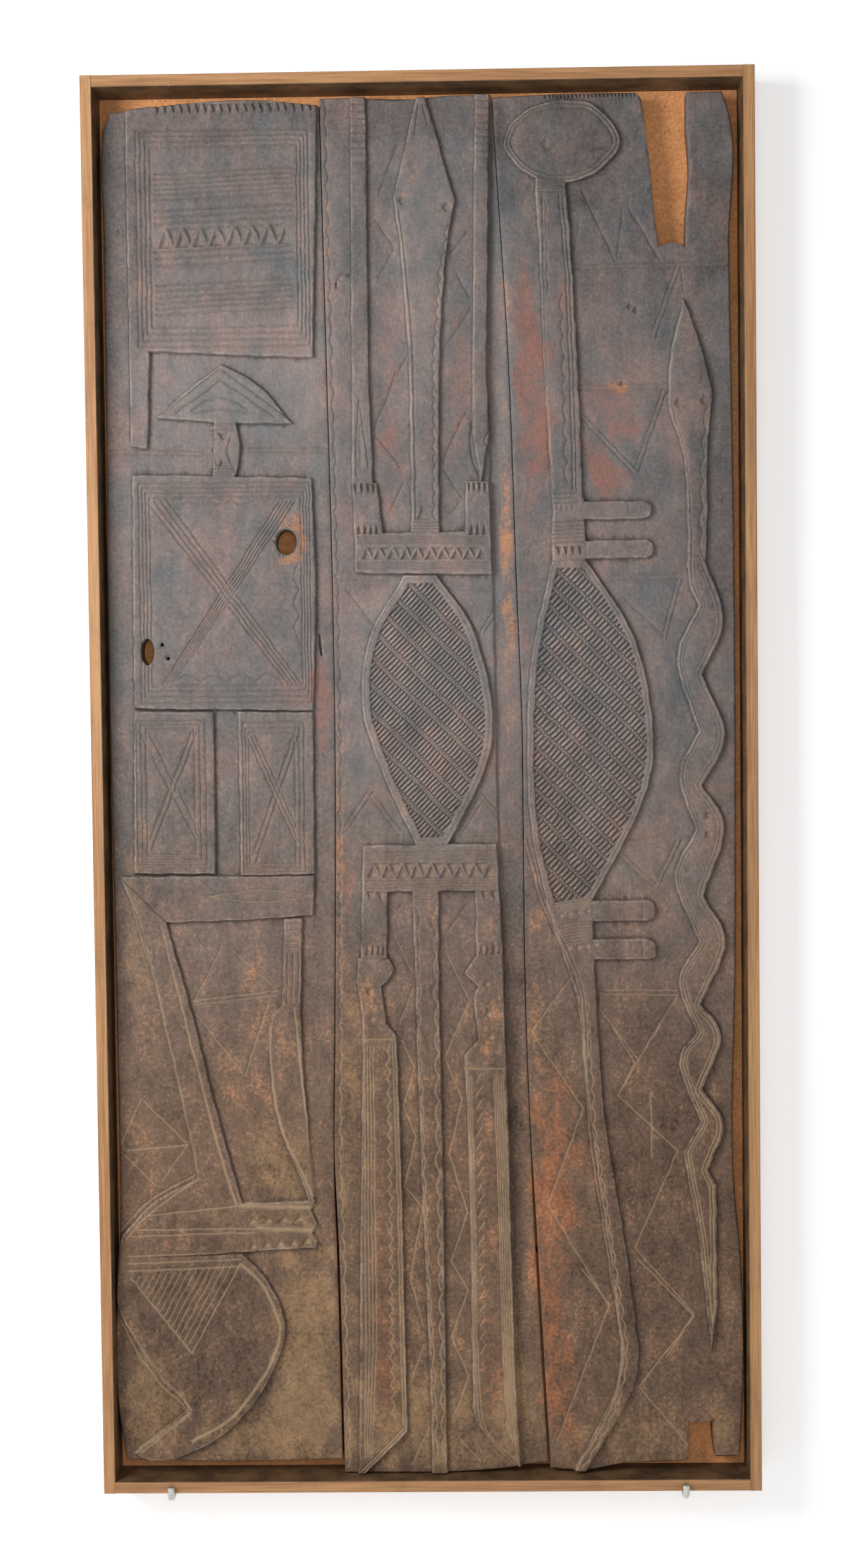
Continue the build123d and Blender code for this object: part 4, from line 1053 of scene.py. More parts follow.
def mark_fan(work):
    """Two lines inside the fan's rim, a slit and a pit, rings at its neck, and lines and bows down the blade."""
    work.inner_lines(drawn(*RIGHT_FIGURES["fan"]), (4.0 * MM, 9.0 * MM))
    work.groove([(0.776, 0.9595), (0.816, 0.9618)], 3.0 * MM, 2.2 * MM)
    work.diamonds([(0.703, 0.9635)], 0.011, 0.006)
    work.diamonds([(0.820, 0.7925), (0.833, 0.848), (0.842, 0.845)], 0.006, 0.0028)
    work.grooves([(0.690, 0.9362), (0.729, 0.9363)], [(0.689, 0.930), (0.728, 0.930)], 4)
    work.teeth((0.70, 0.9995), (0.846, 1.0), (0.0, -0.004), 24)
    work.groove(curved([(0.696, 0.928), (0.6975, 0.8565), (0.700, 0.802), (0.7025, 0.75), (0.708, 0.717)]))
    work.pair([(0.725, 0.928), (0.735, 0.87), (0.740, 0.80), (0.7425, 0.75), (0.7435, 0.717)], 4.5 * MM)
    work.wave([(0.699, 0.925), (0.701, 0.857)], 5, (0.003, 0.0))
    work.wave([(0.7275, 0.857), (0.7305, 0.80), (0.732, 0.75), (0.733, 0.722)], 9, (-0.0055, 0.0))


def mark_hilts(work):
    """Rings and teeth on the two hilts, and a hatched end on the upper peg."""
    work.grooves([(0.711, 0.7145), (0.746, 0.7145)], [(0.711, 0.7075), (0.747, 0.708)], 3)
    work.teeth((0.711, 0.706), (0.744, 0.706), (0.0, -0.0035), 4, 1.4 * MM)
    work.grooves([(0.709, 0.694), (0.757, 0.6945)], [(0.709, 0.679), (0.757, 0.680)], 6)
    work.teeth((0.712, 0.6765), (0.757, 0.6765), (0.0, -0.0075), 4)
    work.groove([(0.708, 0.666), (0.760, 0.667)])
    work.grooves([(0.829, 0.7065), (0.829, 0.697)], [(0.856, 0.7045), (0.856, 0.698)], 8, FINE_WIDTH, 0.9 * MM)
    work.grooves([(0.705, 0.417), (0.765, 0.421)], [(0.707, 0.412), (0.767, 0.417)], 4)
    work.teeth((0.709, 0.4105), (0.766, 0.4145), (0.0, -0.004), 4, 1.4 * MM)
    work.grooves([(0.713, 0.402), (0.766, 0.405)], [(0.718, 0.388), (0.766, 0.392)], 7)
    work.teeth((0.722, 0.387), (0.779, 0.390), (0.0, -0.0055), 4, 1.4 * MM)
    for up in (0.4125, 0.3845):
        work.groove([(0.8465, up + 0.006), (0.8465, up - 0.006)], 2.8 * MM, 1.2 * MM)


# %% Marks of the sabre, the lozenge and the snake


def mark_sabre(work):
    """A line down the sabre with a row of bows beside it, and a double line left of its guard."""
    work.groove(curved([(0.747, 0.348), (0.758, 0.250), (0.773, 0.200), (0.795, 0.131), (0.806, 0.101),
                        (0.804, 0.074), (0.793, 0.053), (0.767, 0.029), (0.733, 0.003)]))
    work.wave([(0.753, 0.348), (0.764, 0.250), (0.780, 0.200), (0.801, 0.131), (0.811, 0.101), (0.810, 0.075),
               (0.797, 0.052), (0.775, 0.030), (0.741, 0.004)], 27, (0.0045, 0.0))
    work.pair(curved([(0.661, 0.465), (0.690, 0.416), (0.744, 0.360), (0.753, 0.304)]), 5.0 * MM)


def mark_lozenge_and_snake(work):
    """A line beside the lozenge's left edge, bows beside its right one, and a line and bows inside the snake."""
    work.groove(curved([(0.901, 0.771), (0.921, 0.736), (0.927, 0.690), (0.927, 0.648)]), 4.4 * MM, 1.6 * MM)
    work.wave([(0.954, 0.776), (0.947, 0.72), (0.945, 0.668)], 6, (-0.005, 0.0))
    work.diamonds([(0.908, 0.778), (0.949, 0.780)], 0.0085, 0.005)
    work.inner_lines(drawn(*SNAKE), (5.0 * MM,), 3.4 * MM, 1.4 * MM)
    work.inner_lines(drawn(*SNAKE), (9.0 * MM,), 2.2 * MM, 0.7 * MM)
    for up in (0.481, 0.467):
        work.chip([(0.946, up + 0.0025), (0.956, up + 0.0025), (0.956, up - 0.0025), (0.946, up - 0.0025)])


def mark_right_leaf(work):
    """A narrow rim with two lines, and inside it the same weave as on the other leaf, but finer and closer."""
    line = spots(drawn(*RIGHT_LEAF))
    work.inner_lines(drawn(*RIGHT_LEAF), (4.0 * MM,), 2.2 * MM, 0.9 * MM)
    work.lattice(line, 8.0 * MM, LEAF_LEAN, 20.0 * MM, 6.0 * MM, LEAF_FIELD_DEPTH)
    for shares in RIGHT_SCRATCH_SHARES:
        work.groove(shares, SCRATCH_WIDTH, SCRATCH_DEPTH)
    for shares in RIGHT_PAIR_SHARES:
        work.pair(shares, 6.0 * MM, SCRATCH_WIDTH, SCRATCH_DEPTH)


# %% Cut the right plank


def carve_right(work):
    """The figures of the right plank, and then the marks on them."""
    for steps in RIGHT_FIGURES.values():
        work.raise_figure(drawn(*steps))
    work.raise_figure(drawn(*RIGHT_LEAF))
    work.raise_figure(drawn(*SNAKE))
    for (left, top), (right, foot) in PEG_BOXES:
        end = right - 0.010
        work.raise_figure(drawn(
            (left, top), ((end, top),), ((right, top - 0.003), (right, foot + 0.003), (end, foot)), ((left, foot),),
        ))
    for marks in (mark_fan, mark_hilts, mark_sabre, mark_lozenge_and_snake, mark_right_leaf):
        marks(work)


# %% [markdown]
# ## Where the wood is worn, red, dusty or pale
# The finish is one recipe for all three planks, but it has to know places: the brick-red stain beside the upper
# blade, the bare orange wood round the latch hole, the dust near the foot. Each such mask is a number per point,
# made of soft ellipses with ragged edges. A last number says how hollow each point is, compared with the mean
# height round it: the finish darkens the hollows, partly as soot and partly as painted shade, and lightens the
# edges, partly as rubbed wear and partly as a painted highlight.

# %% Patches
RED_SHARES = (
    (0.680, 0.785, 0.032, 0.055, 0.95), (0.665, 0.84, 0.022, 0.05, 0.7), (0.690, 0.735, 0.022, 0.03, 0.7),
    (0.800, 0.765, 0.060, 0.040, 0.75), (0.785, 0.722, 0.035, 0.02, 0.9), (0.725, 0.84, 0.02, 0.05, 0.5),
    (0.665, 0.66, 0.012, 0.09, 0.5), (0.440, 0.80, 0.03, 0.06, 0.4), (0.562, 0.80, 0.02, 0.09, 0.5),
    (0.460, 0.735, 0.03, 0.03, 0.45), (0.338, 0.565, 0.02, 0.05, 0.7), (0.30, 0.572, 0.03, 0.02, 0.4),
    (0.420, 0.493, 0.03, 0.02, 0.5), (0.375, 0.40, 0.012, 0.09, 0.6), (0.62, 0.44, 0.03, 0.10, 0.35),
    (0.700, 0.245, 0.045, 0.060, 0.85), (0.690, 0.16, 0.035, 0.060, 0.75), (0.700, 0.085, 0.035, 0.055, 0.75),
    (0.715, 0.045, 0.04, 0.04, 0.55), (0.740, 0.19, 0.03, 0.04, 0.5), (0.60, 0.075, 0.024, 0.055, 0.6),
    (0.425, 0.095, 0.026, 0.06, 0.5), (0.43, 0.05, 0.03, 0.03, 0.45), (0.545, 0.24, 0.02, 0.03, 0.35),
    (0.075, 0.32, 0.02, 0.04, 0.25), (0.20, 0.29, 0.05, 0.05, 0.3), (0.88, 0.17, 0.08, 0.10, 0.25),
    (0.60, 0.20, 0.02, 0.08, 0.45), (0.42, 0.20, 0.02, 0.10, 0.35), (0.51, 0.12, 0.02, 0.10, 0.35),
    (0.15, 0.64, 0.12, 0.07, 0.25), (0.20, 0.88, 0.10, 0.07, 0.2),
)
WORN_SHARES = (
    (0.293, 0.684, 0.032, 0.020, 1.2), (0.300, 0.681, 0.016, 0.016, 0.5), (0.272, 0.666, 0.012, 0.008, 0.5),
    (0.634, 0.78, 0.011, 0.13, 0.65), (0.636, 0.67, 0.016, 0.08, 0.65), (0.640, 0.56, 0.012, 0.09, 0.55), (0.366, 0.50, 0.012, 0.06, 0.55),
    (0.398, 0.36, 0.022, 0.03, 0.6), (0.600, 0.33, 0.025, 0.03, 0.6), (0.405, 0.405, 0.012, 0.03, 0.45),
    (0.505, 0.40, 0.012, 0.03, 0.5), (0.675, 0.36, 0.018, 0.09, 0.75), (0.235, 0.285, 0.03, 0.04, 0.5),
    (0.20, 0.235, 0.03, 0.02, 0.35), (0.250, 0.69, 0.012, 0.02, 0.3), (0.150, 0.60, 0.06, 0.03, 0.25),
    (0.470, 0.9285, 0.010, 0.006, 0.9), (0.495, 0.945, 0.008, 0.008, 0.6), (0.78, 0.20, 0.03, 0.06, 0.35),
    (0.93, 0.28, 0.02, 0.08, 0.3), (0.355, 0.91, 0.004, 0.10, 0.7), (0.363, 0.40, 0.006, 0.10, 0.8),
    (0.219, 0.366, 0.024, 0.015, 0.8),
    (0.80, 0.55, 0.05, 0.06, 0.3), (0.50, 0.57, 0.05, 0.06, 0.25), (0.835, 0.665, 0.03, 0.01, 0.6),
    (0.99, 0.635, 0.02, 0.015, 0.5), (0.82, 0.791, 0.025, 0.007, 0.9), (0.705, 0.69, 0.01, 0.03, 0.5),
    (0.52, 0.17, 0.14, 0.20, 0.42), (0.70, 0.13, 0.05, 0.13, 0.35), (0.48, 0.955, 0.02, 0.02, 0.3),
)
DUST_SHARES = (
    (0.300, 0.09, 0.065, 0.085, 1.0), (0.22, 0.03, 0.12, 0.03, 0.8), (0.05, 0.05, 0.05, 0.04, 0.9),
    (0.04, 0.40, 0.04, 0.09, 0.5), (0.26, 0.23, 0.06, 0.03, 0.8),
    (0.37, 0.24, 0.02, 0.14, 0.5), (0.52, 0.03, 0.17, 0.04, 0.7), (0.85, 0.025, 0.15, 0.03, 0.6),
    (0.635, 0.06, 0.02, 0.09, 0.9), (0.47, 0.18, 0.06, 0.16, 0.35), (0.98, 0.10, 0.03, 0.09, 0.4),
    (0.40, 0.30, 0.03, 0.06, 0.4), (0.69, 0.31, 0.03, 0.03, 0.5),
    (0.15, 0.19, 0.14, 0.012, 0.35), (0.02, 0.62, 0.03, 0.05, 0.4),
)
TONE_SHARES = (
    (0.02, 0.90, 0.05, 0.14, -0.45), (0.19, 0.99, 0.20, 0.02, -0.35), (0.19, 0.94, 0.12, 0.03, -0.2),
    (0.20, 0.80, 0.20, 0.06, 0.40), (0.33, 0.83, 0.04, 0.15, 0.3),
    (0.219, 0.366, 0.024, 0.016, 0.3), (0.07, 0.50, 0.10, 0.08, -0.2), (0.08, 0.36, 0.10, 0.09, -0.1), (0.30, 0.08, 0.07, 0.09, 0.15),
    (0.13, 0.09, 0.13, 0.09, -0.65), (0.50, 0.87, 0.05, 0.11, 0.35), (0.50, 0.98, 0.16, 0.02, -0.35),
    (0.40, 0.90, 0.018, 0.10, -0.25), (0.72, 0.96, 0.11, 0.05, -0.45), (0.85, 0.90, 0.14, 0.09, -0.30),
    (0.965, 0.93, 0.04, 0.08, -0.40), (0.96, 0.72, 0.05, 0.12, -0.40), (0.85, 0.60, 0.08, 0.10, -0.05),
    (0.90, 0.42, 0.09, 0.10, 0.15), (0.87, 0.28, 0.12, 0.10, -0.35), (0.85, 0.12, 0.13, 0.10, -0.42),
    (0.50, 0.57, 0.12, 0.12, 0.60), (0.77, 0.55, 0.10, 0.12, 0.55), (0.64, 0.40, 0.02, 0.13, -0.35),
    (0.640, 0.22, 0.012, 0.16, -0.6), (0.47, 0.20, 0.10, 0.18, -0.2), (0.62, 0.95, 0.02, 0.07, -0.3),
    (0.68, 0.78, 0.04, 0.06, 0.3), (0.634, 0.78, 0.014, 0.13, 0.4), (0.80, 0.75, 0.05, 0.05, 0.25),
)


def patches(x, z, table, seed, ragged=0.45):
    """The sum of soft ellipses: each is full at its centre and gone at its edge, which noise makes ragged."""
    across, up = x / LEAF_WIDTH + 0.5, (z - LEAF_FOOT) / LEAF_HEIGHT
    noise = ragged * cloud(x, z, 0.06, seed, 4)
    total = np.zeros(x.shape)
    for centre_u, centre_v, half_u, half_v, amount in table:
        reach = np.hypot((across - centre_u) / half_u, (up - centre_v) / half_v)
        total += amount * (1 - step_up(reach + noise, 0.45, 1.35))
    return total


HOLLOW_REACH = 5.0 * MM
HOLLOW_DEPTH = 2.4 * MM
FOOT_REACH = 14.0 * MM


def numbers_for_finish(work, height):
    """The masks of one plank, by name."""
    near = blurred(height, int(HOLLOW_REACH / GRID_STEP / 2))
    wide = blurred(height, int(FOOT_REACH / GRID_STEP / 2))
    return {
        "hollow": np.clip((near - height) / HOLLOW_DEPTH, -1, 1),
        "lines": work.lines,
        "gaps": work.gaps,
        "low": np.clip((wide - height) / RELIEF * 2, -1, 1),
        "red": patches(work.x, work.z, RED_SHARES, 11),
        "worn": patches(work.x, work.z, WORN_SHARES, 12, 0.3),
        "dust": patches(work.x, work.z, DUST_SHARES, 13),
        "tone": patches(work.x, work.z, TONE_SHARES, 14, 0.3),
    }


# %% Make the planks
CARVERS = {"plank_left": carve_left, "plank_middle": carve_middle, "plank_right": carve_right}
HEWN_WAVE = 0.25 * MM
HAND_WANDER = 0.9 * MM
planks = {}
for number, (node, edges) in enumerate(PLANK_EDGES.items()):
    gaps = [0.0 if node == outer else SEAM_HALF_GAP for outer in ("plank_left", "plank_right")]
    grid_x, grid_z = plank_grid(edges, *gaps)
    wander = [HAND_WANDER * cloud(grid_x, grid_z, 0.040, seed + number, 2) for seed in (40, 50)]
    work = Carving(grid_x + wander[0], grid_z + wander[1])
    CARVERS[node](work)
    hewn = HEWN_WAVE * cloud(grid_x, grid_z * 0.4, 0.035, 20 + number, 3)
    height = work.finish() + hewn - rounded_edges(grid_x, grid_z, node)
    planks[node] = close_plank(
        "carved_" + node, grid_x, grid_z, height, numbers_for_finish(work, height),
    )
    print(node, "grid", grid_x.shape, "faces", len(planks[node].data.polygons))

# %% [markdown]
# ## Holes and notches
# The latch hole, the cord hole and the notches at the ends go right through the wood. They are cut last, with
# solid cutters, so that their walls are as clean as in real wood.

# %% Cut the openings
HOLE_CUTS = {
    "plank_left": (
        ((0.285, 0.682), 13.5 * MM, 16.5 * MM), ((0.061, 0.604), 9.0 * MM, 17.0 * MM),
        ((0.085, 0.609), 2.4 * MM, 2.4 * MM), ((0.094, 0.599), 2.4 * MM, 2.4 * MM),
    ),
}
NOTCH_CUTS = {
    "plank_right": (
        ((0.845, 1.02), ((0.845, 1.0),), ((0.853, 0.995),), ((0.866, 0.946), (0.872, 0.915), (0.879, 0.890)),
         ((0.900, 0.893), (0.922, 0.890)), ((0.924, 0.915), (0.929, 0.945), (0.925, 0.975)), ((0.925, 1.02),)),
        ((0.913, -0.02), ((0.914, 0.035),), ((0.953, 0.036),), ((0.955, 0.018),), ((0.966, -0.02),)),
    ),
}
CUTTER_POINTS = 40


def cutter(line, name):
    """A prism through the plank with a closed line as its section."""
    count = len(line)
    front = np.column_stack([line[:, 0], np.full(count, FACE_Y - 0.01), line[:, 1]])
    back = front + np.array([0, BACK_Y - FACE_Y + 0.02, 0])
    points = np.vstack([front, back])
    index = np.arange(count)
    after = np.roll(index, -1)
    quads = np.stack([index, index + count, after + count, after], axis=-1)
    caps = [index, index[::-1] + count]
    piece = mesh_of(name, points, quads, caps)
    area = np.sum(line[:, 0] * np.roll(line[:, 1], -1) - np.roll(line[:, 0], -1) * line[:, 1])
    if area < 0:
        piece.data.flip_normals()
    return piece


def cut(piece, lines):
    """Takes prisms out of a piece."""
    for number, line in enumerate(lines):
        tool = cutter(line, "cutter")
        modifier = piece.modifiers.new("opening", "BOOLEAN")
        modifier.operation = "DIFFERENCE"
        modifier.solver = "MANIFOLD"
        modifier.object = tool
        apply_modifiers(piece)
        bpy.data.objects.remove(tool)


for node, piece in planks.items():
    lines = [spots(drawn(*steps)) for steps in NOTCH_CUTS.get(node, ())]
    turn = np.linspace(0, math.tau, CUTTER_POINTS, endpoint=False)
    for centre, half_width, half_height in HOLE_CUTS.get(node, ()):
        lines.append(spots(centre) + np.column_stack([half_width * np.cos(turn), half_height * np.sin(turn)]))
    thin = piece.modifiers.new("thin", "DECIMATE")
    thin.ratio = min(1.0, TRIANGLE_LIMIT / (2 * len(piece.data.polygons)))
    apply_modifiers(piece)
    cut(piece, lines)
    print(piece.name, "after cutting", len(piece.data.polygons), "faces")

# %% [markdown]
# ## The patina
# Smoke, hands and dust have coloured this wood in layers, and the finish lays them on in the same order: clouds of
# slate and plum, a browner foot, brick-red stain, worn orange wood, dust, grain, and last the dark hollows, which
# are partly soot and partly painted shade, and the pale edges, partly rubbed wear and partly a painted highlight.
# Each mask from the mesh is soft. One rough noise is added to it before it is turned into a share, so that its edge
# breaks up into flecks, as worn paint does.

# %% Finish of the carved wood
SLATE = paint(101, 102, 102)
PLUM = paint(127, 110, 105)
BROWN = paint(113, 87, 66)
RED_STAIN = paint(134, 92, 80)
RUST = paint(154, 94, 60)
BARE_ORANGE = paint(174, 120, 80)
DUST = paint(136, 109, 80)
CUT_GREY = paint(156, 134, 112)
CUT_TAN = paint(180, 154, 123)
SOOT_AND_SHADE = paint(36, 31, 29)
CHALK_AND_HIGHLIGHT = paint(182, 172, 160)
FOOT_HEIGHTS = (-0.50, 0.20)


def carved_wood():
    """Smoke-dark wood in layers; the numbers on the mesh say where each layer lies."""
    finish = Finish("carved_wood", Specular_IOR_Level=0.22)
    clouds = finish.noise(0.06, stretch=(1, 1, 1.5), detail=6, roughness=0.62)
    ragged = finish.noise(0.028, stretch=(1, 1, 1.8), detail=7, roughness=0.74, shift=3.1)
    grain = finish.noise(0.0020, stretch=(1, 1, 12), detail=3, roughness=0.6)
    speck = finish.noise(0.0042, detail=4, roughness=0.75, shift=7.7)
    foot = 1.0 - finish.upright().between(*FOOT_HEIGHTS)
    hollow, low = finish.attribute("hollow"), finish.attribute("low")
    red, worn = finish.attribute("red"), finish.attribute("worn")
    dust, tone = finish.attribute("dust"), finish.attribute("tone")
    line, gaps = finish.attribute("lines"), finish.attribute("gaps")
    torn = 1.0 + (ragged - 0.5) * 4.6 + (speck - 0.5) * 2.6
    colour = finish.mix((clouds + (ragged - 0.5) * 0.3).between(0.26, 0.74), SLATE, PLUM)
    colour = finish.mix(foot * 0.85, colour, BROWN)
    colour = finish.mix((red * torn).between(0.20, 1.40) * (0.80 - foot * 0.16), colour, finish.mix(foot, RED_STAIN, RUST))
    colour = finish.mix((worn * torn).between(0.40, 1.60) * 0.72, colour, BARE_ORANGE)
    fleck = (speck + (ragged - 0.5) * 0.8 + (clouds - 0.5) * 0.4).between(0.60, 0.70)
    colour = finish.mix(fleck * (0.10 + foot * 0.24), colour, BARE_ORANGE)
    colour = finish.mix((dust * (torn * 0.5 + 0.5)).between(0.20, 1.0) * 0.80, colour, DUST)
    mottle = (ragged - 0.5) * (foot * 0.8 + 0.95) + (speck - 0.5) * (foot * 0.7 + 1.2)
    brightness = 1.0 + tone * 0.50 + (grain - 0.5) * 0.3 + mottle
    colour = finish.node("ShaderNodeVectorMath", {"operation": "SCALE"}, {0: colour, "Scale": brightness})
    settled = (line - (1.0 - foot) * 0.55).held()
    # Hollows, low places and the lattice's gaps are darkened towards soot: partly soot, and partly painted shade
    # where the carving is deep.
    soot_and_shade = hollow.between(0.25, 1.0) * (0.52 - settled * 0.5 - foot * 0.08) + low.between(0.40, 1.0) * 0.16
    soot_and_shade = finish.math("MAXIMUM", soot_and_shade, gaps * (0.52 - foot * 0.08))
    colour = finish.mix(soot_and_shade.held(), colour, SOOT_AND_SHADE)
    colour = finish.mix(settled * (ragged * 1.0 + 0.35).held() * 0.80, colour, finish.mix(foot, CUT_GREY, CUT_TAN))
    # Raised edges are lightened towards chalk: partly rubbed wear, partly a painted highlight.
    rubbed = (0.0 - hollow).between(0.10, 0.6) * (ragged + speck * 0.5).between(0.55, 0.95)
    colour = finish.mix(rubbed * 0.42, colour, CHALK_AND_HIGHLIGHT)
    chalk = finish.noise(0.0024, detail=2, roughness=0.5, shift=12.4).between(0.72, 0.75)
    colour = finish.mix(chalk * 0.55, colour, CHALK_AND_HIGHLIGHT)
    rough = 0.48 + clouds * 0.22 + dust.held() * 0.15
    relief = grain * 0.5 + ragged * 0.9 + speck * 0.6
    return finish.show(Base_Color=colour, Roughness=rough, Normal=finish.bump(relief, 0.0009, 0.7))


carved_finish = carved_wood()
for node, piece in planks.items():
    piece.data.materials.clear()
    piece.data.materials.append(carved_finish)
    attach(piece, DOOR_BODY)
    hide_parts(node)

# %% [markdown]
# ## The tray, the cork and the iron
# The tray's strips are varnished softwood. Its grain runs along each strip, so the stiles and the rails have a
# finish each. The sides that face into the tray are painted much darker, as shade. A point belongs to such a side
# when it lies no further out than the tray's opening, and that needs only its place.

# %% Finish of the tray
TRAY_OPENING = (-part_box("frame_stile_left")[1].x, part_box("frame_rail_top")[0].z)
EDGE_BLEND = 1.4 * MM


def tray_wood(name, along):
    """Varnished softwood: tan, with fine grain along one axis, pale nicks, dark specks, and painted shade on the
    inner sides.
    """
    finish = Finish(name, Specular_IOR_Level=0.35)
    stretch = [1.0, 1.0, 1.0]
    stretch[along] = 34.0
    grain = finish.noise(0.0022, stretch=stretch, detail=4)
    bands = finish.noise(0.011, stretch=stretch, detail=3, shift=2.0)
    stain = finish.noise(0.045, detail=5, roughness=0.65, shift=5.0)
    edges = []
    for place, opening in zip((finish.across(), finish.upright()), TRAY_OPENING):
        reach = finish.math("ABSOLUTE", place, 0.0)
        edges.append(reach.between(opening, opening + EDGE_BLEND))
    front = finish.math("MAXIMUM", *edges)
    wood = finish.mix((grain * 0.5 + bands * 0.5).between(0.36, 0.64), paint(190, 143, 98), paint(154, 110, 72))
    wood = finish.mix(stain.between(0.55, 0.80) * 0.35, wood, paint(120, 84, 54))
    # The inner sides get a darker copy of the wood: painted shade.
    inner = finish.mix(stain.between(0.35, 0.65), paint(118, 90, 62), paint(76, 59, 43))
    colour = finish.mix(front, inner, wood)
    nick = finish.noise(0.0040, detail=3, roughness=0.6, shift=9.0)
    colour = finish.mix(nick.between(0.70, 0.74) * 0.6, colour, paint(222, 188, 146))
    colour = finish.mix((1.0 - nick).between(0.70, 0.74) * 0.6, colour, paint(70, 48, 32))
    rough = 0.38 + stain * 0.25
    return finish.show(Base_Color=colour, Roughness=rough, Normal=finish.bump(grain + bands, 0.0004, 0.5))


# %% Finishes of the cork, the board and the metal


def cork():
    """Pressed cork: orange-tan grains, each of its own shade, with dark flecks among them."""
    finish = Finish("cork", Roughness=0.9, Specular_IOR_Level=0.15)
    inputs = {"Vector": finish.place, "Scale": 1 / 0.0032}
    grains = finish.node("ShaderNodeTexVoronoi", None, inputs, "Color")
    fleck = finish.noise(0.0032, detail=4, roughness=0.7, shift=1.7)
    broad = finish.noise(0.05, detail=3, shift=4.0)
    colour = finish.mix(grains, paint(244, 176, 120), paint(212, 144, 92))
    colour = finish.mix(broad.between(0.5, 0.75) * 0.35, colour, paint(176, 112, 66))
    colour = finish.mix(fleck.between(0.60, 0.68) * 0.65, colour, paint(124, 78, 46))
    return finish.show(Base_Color=colour, Normal=finish.bump(fleck, 0.0009, 0.8))


def board_wood():
    """The board behind the cork: pale plywood with broad figure, a little grey with age."""
    finish = Finish("board_wood", Roughness=0.7, Specular_IOR_Level=0.3)
    figure = finish.noise(0.030, stretch=(1, 1, 9), detail=5, roughness=0.6)
    grain = finish.noise(0.0018, stretch=(1, 1, 30), detail=3, shift=2.5)
    colour = finish.mix(figure.between(0.40, 0.62), paint(196, 166, 126), paint(164, 130, 92))
    colour = finish.mix(grain.between(0.55, 0.75) * 0.5, colour, paint(120, 92, 64))
    return finish.show(Base_Color=colour, Normal=finish.bump(grain, 0.0003, 0.5))


def metal(name, bright, dull, rust, rust_share, metallic, roughness):
    """Worn metal: two shades in fine spangle, and rust where a rough noise is high."""
    finish = Finish(name)
    spangle = finish.noise(0.0025, detail=3, roughness=0.6)
    blotch = finish.noise(0.009, detail=6, roughness=0.7, shift=3.0)
    rusty = blotch.between(0.62 - rust_share * 0.3, 0.72 - rust_share * 0.2) * rust_share
    colour = finish.mix(rusty, finish.mix(spangle.between(0.35, 0.65), bright, dull), rust)
    return finish.show(
        Base_Color=colour, Metallic=(1.0 - rusty) * metallic, Roughness=rusty * 0.3 + roughness,
        Normal=finish.bump(spangle + blotch, 0.0002, 0.5),
    )


RUST_BROWN = paint(112, 66, 38)
stile_wood, rail_wood = tray_wood("tray_wood_upright", 2), tray_wood("tray_wood_across", 0)
zinc = metal("zinc_hook", paint(212, 213, 206), paint(172, 174, 170), RUST_BROWN, 0.25, 0.9, 0.36)
iron = metal("forged_iron", paint(74, 68, 64), paint(44, 40, 38), RUST_BROWN, 0.85, 0.7, 0.55)
steel = metal("screw_steel", paint(166, 164, 156), paint(122, 120, 114), RUST_BROWN, 0.40, 0.9, 0.40)
cork_finish, board_finish = cork(), board_wood()
NODE_FINISHES = {
    "frame_stile_left": stile_wood, "frame_stile_right": stile_wood, "frame_rail_top": rail_wood,
    "frame_rail_bottom": rail_wood, "cork_panel": cork_finish, "backing_board": board_finish,
    "backing_board_screws": steel, "door_fixing_screws": steel, "frame_corner_screws": steel,
    "seam_staples_left": iron, "seam_staples_right": iron, "support_hook_left": zinc, "support_hook_right": zinc,
}
for node, material in NODE_FINISHES.items():
    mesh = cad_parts[node].data
    mesh.materials.clear()
    mesh.materials.append(material)

# %% [markdown]
# ## The wall, the floor and the light
# The backdrop is a plain white wall and floor. It is one-sided, so that views from behind see through it.

# %% Wall and floor
WALL_WHITE = paint(243, 243, 243)
WALL_HALF_WIDTH = 3.0
WALL_TOP = 2.4
FLOOR_Z = CAD_BOX[0].z - 0.3
FLOOR_DEPTH = 5.0
CAMERA_GLOW = 0.36


def backdrop_finish(name):
    """White paint that is seen a little brighter by the camera and by gloss, and not at all from behind."""
    finish = Finish(name, Roughness=0.9)
    tree = finish.tree
    finish.feed(finish.shader.inputs["Base Color"], WALL_WHITE)
    rays = tree.nodes.new("ShaderNodeLightPath")
    seen = Signal(finish, rays.outputs["Is Camera Ray"]) + Signal(finish, rays.outputs["Is Glossy Ray"])
    finish.feed(finish.shader.inputs["Emission Color"], (1.0, 1.0, 1.0, 1.0))
    finish.feed(finish.shader.inputs["Emission Strength"], seen * CAMERA_GLOW)
    facing = tree.nodes.new("ShaderNodeNewGeometry")
    clear = tree.nodes.new("ShaderNodeBsdfTransparent")
    choice = tree.nodes.new("ShaderNodeMixShader")
    tree.links.new(facing.outputs["Backfacing"], choice.inputs[0])
    tree.links.new(finish.shader.outputs[0], choice.inputs[1])
    tree.links.new(clear.outputs[0], choice.inputs[2])
    tree.links.new(choice.outputs[0], tree.nodes["Material Output"].inputs["Surface"])
    return finish.material


def backdrop(name, corners):
    """A flat stage piece with four corners."""
    piece = mesh_of(name, np.array(corners), np.array([[0, 1, 2, 3]]))
    piece.data.materials.append(backdrop_finish(name))
    return piece


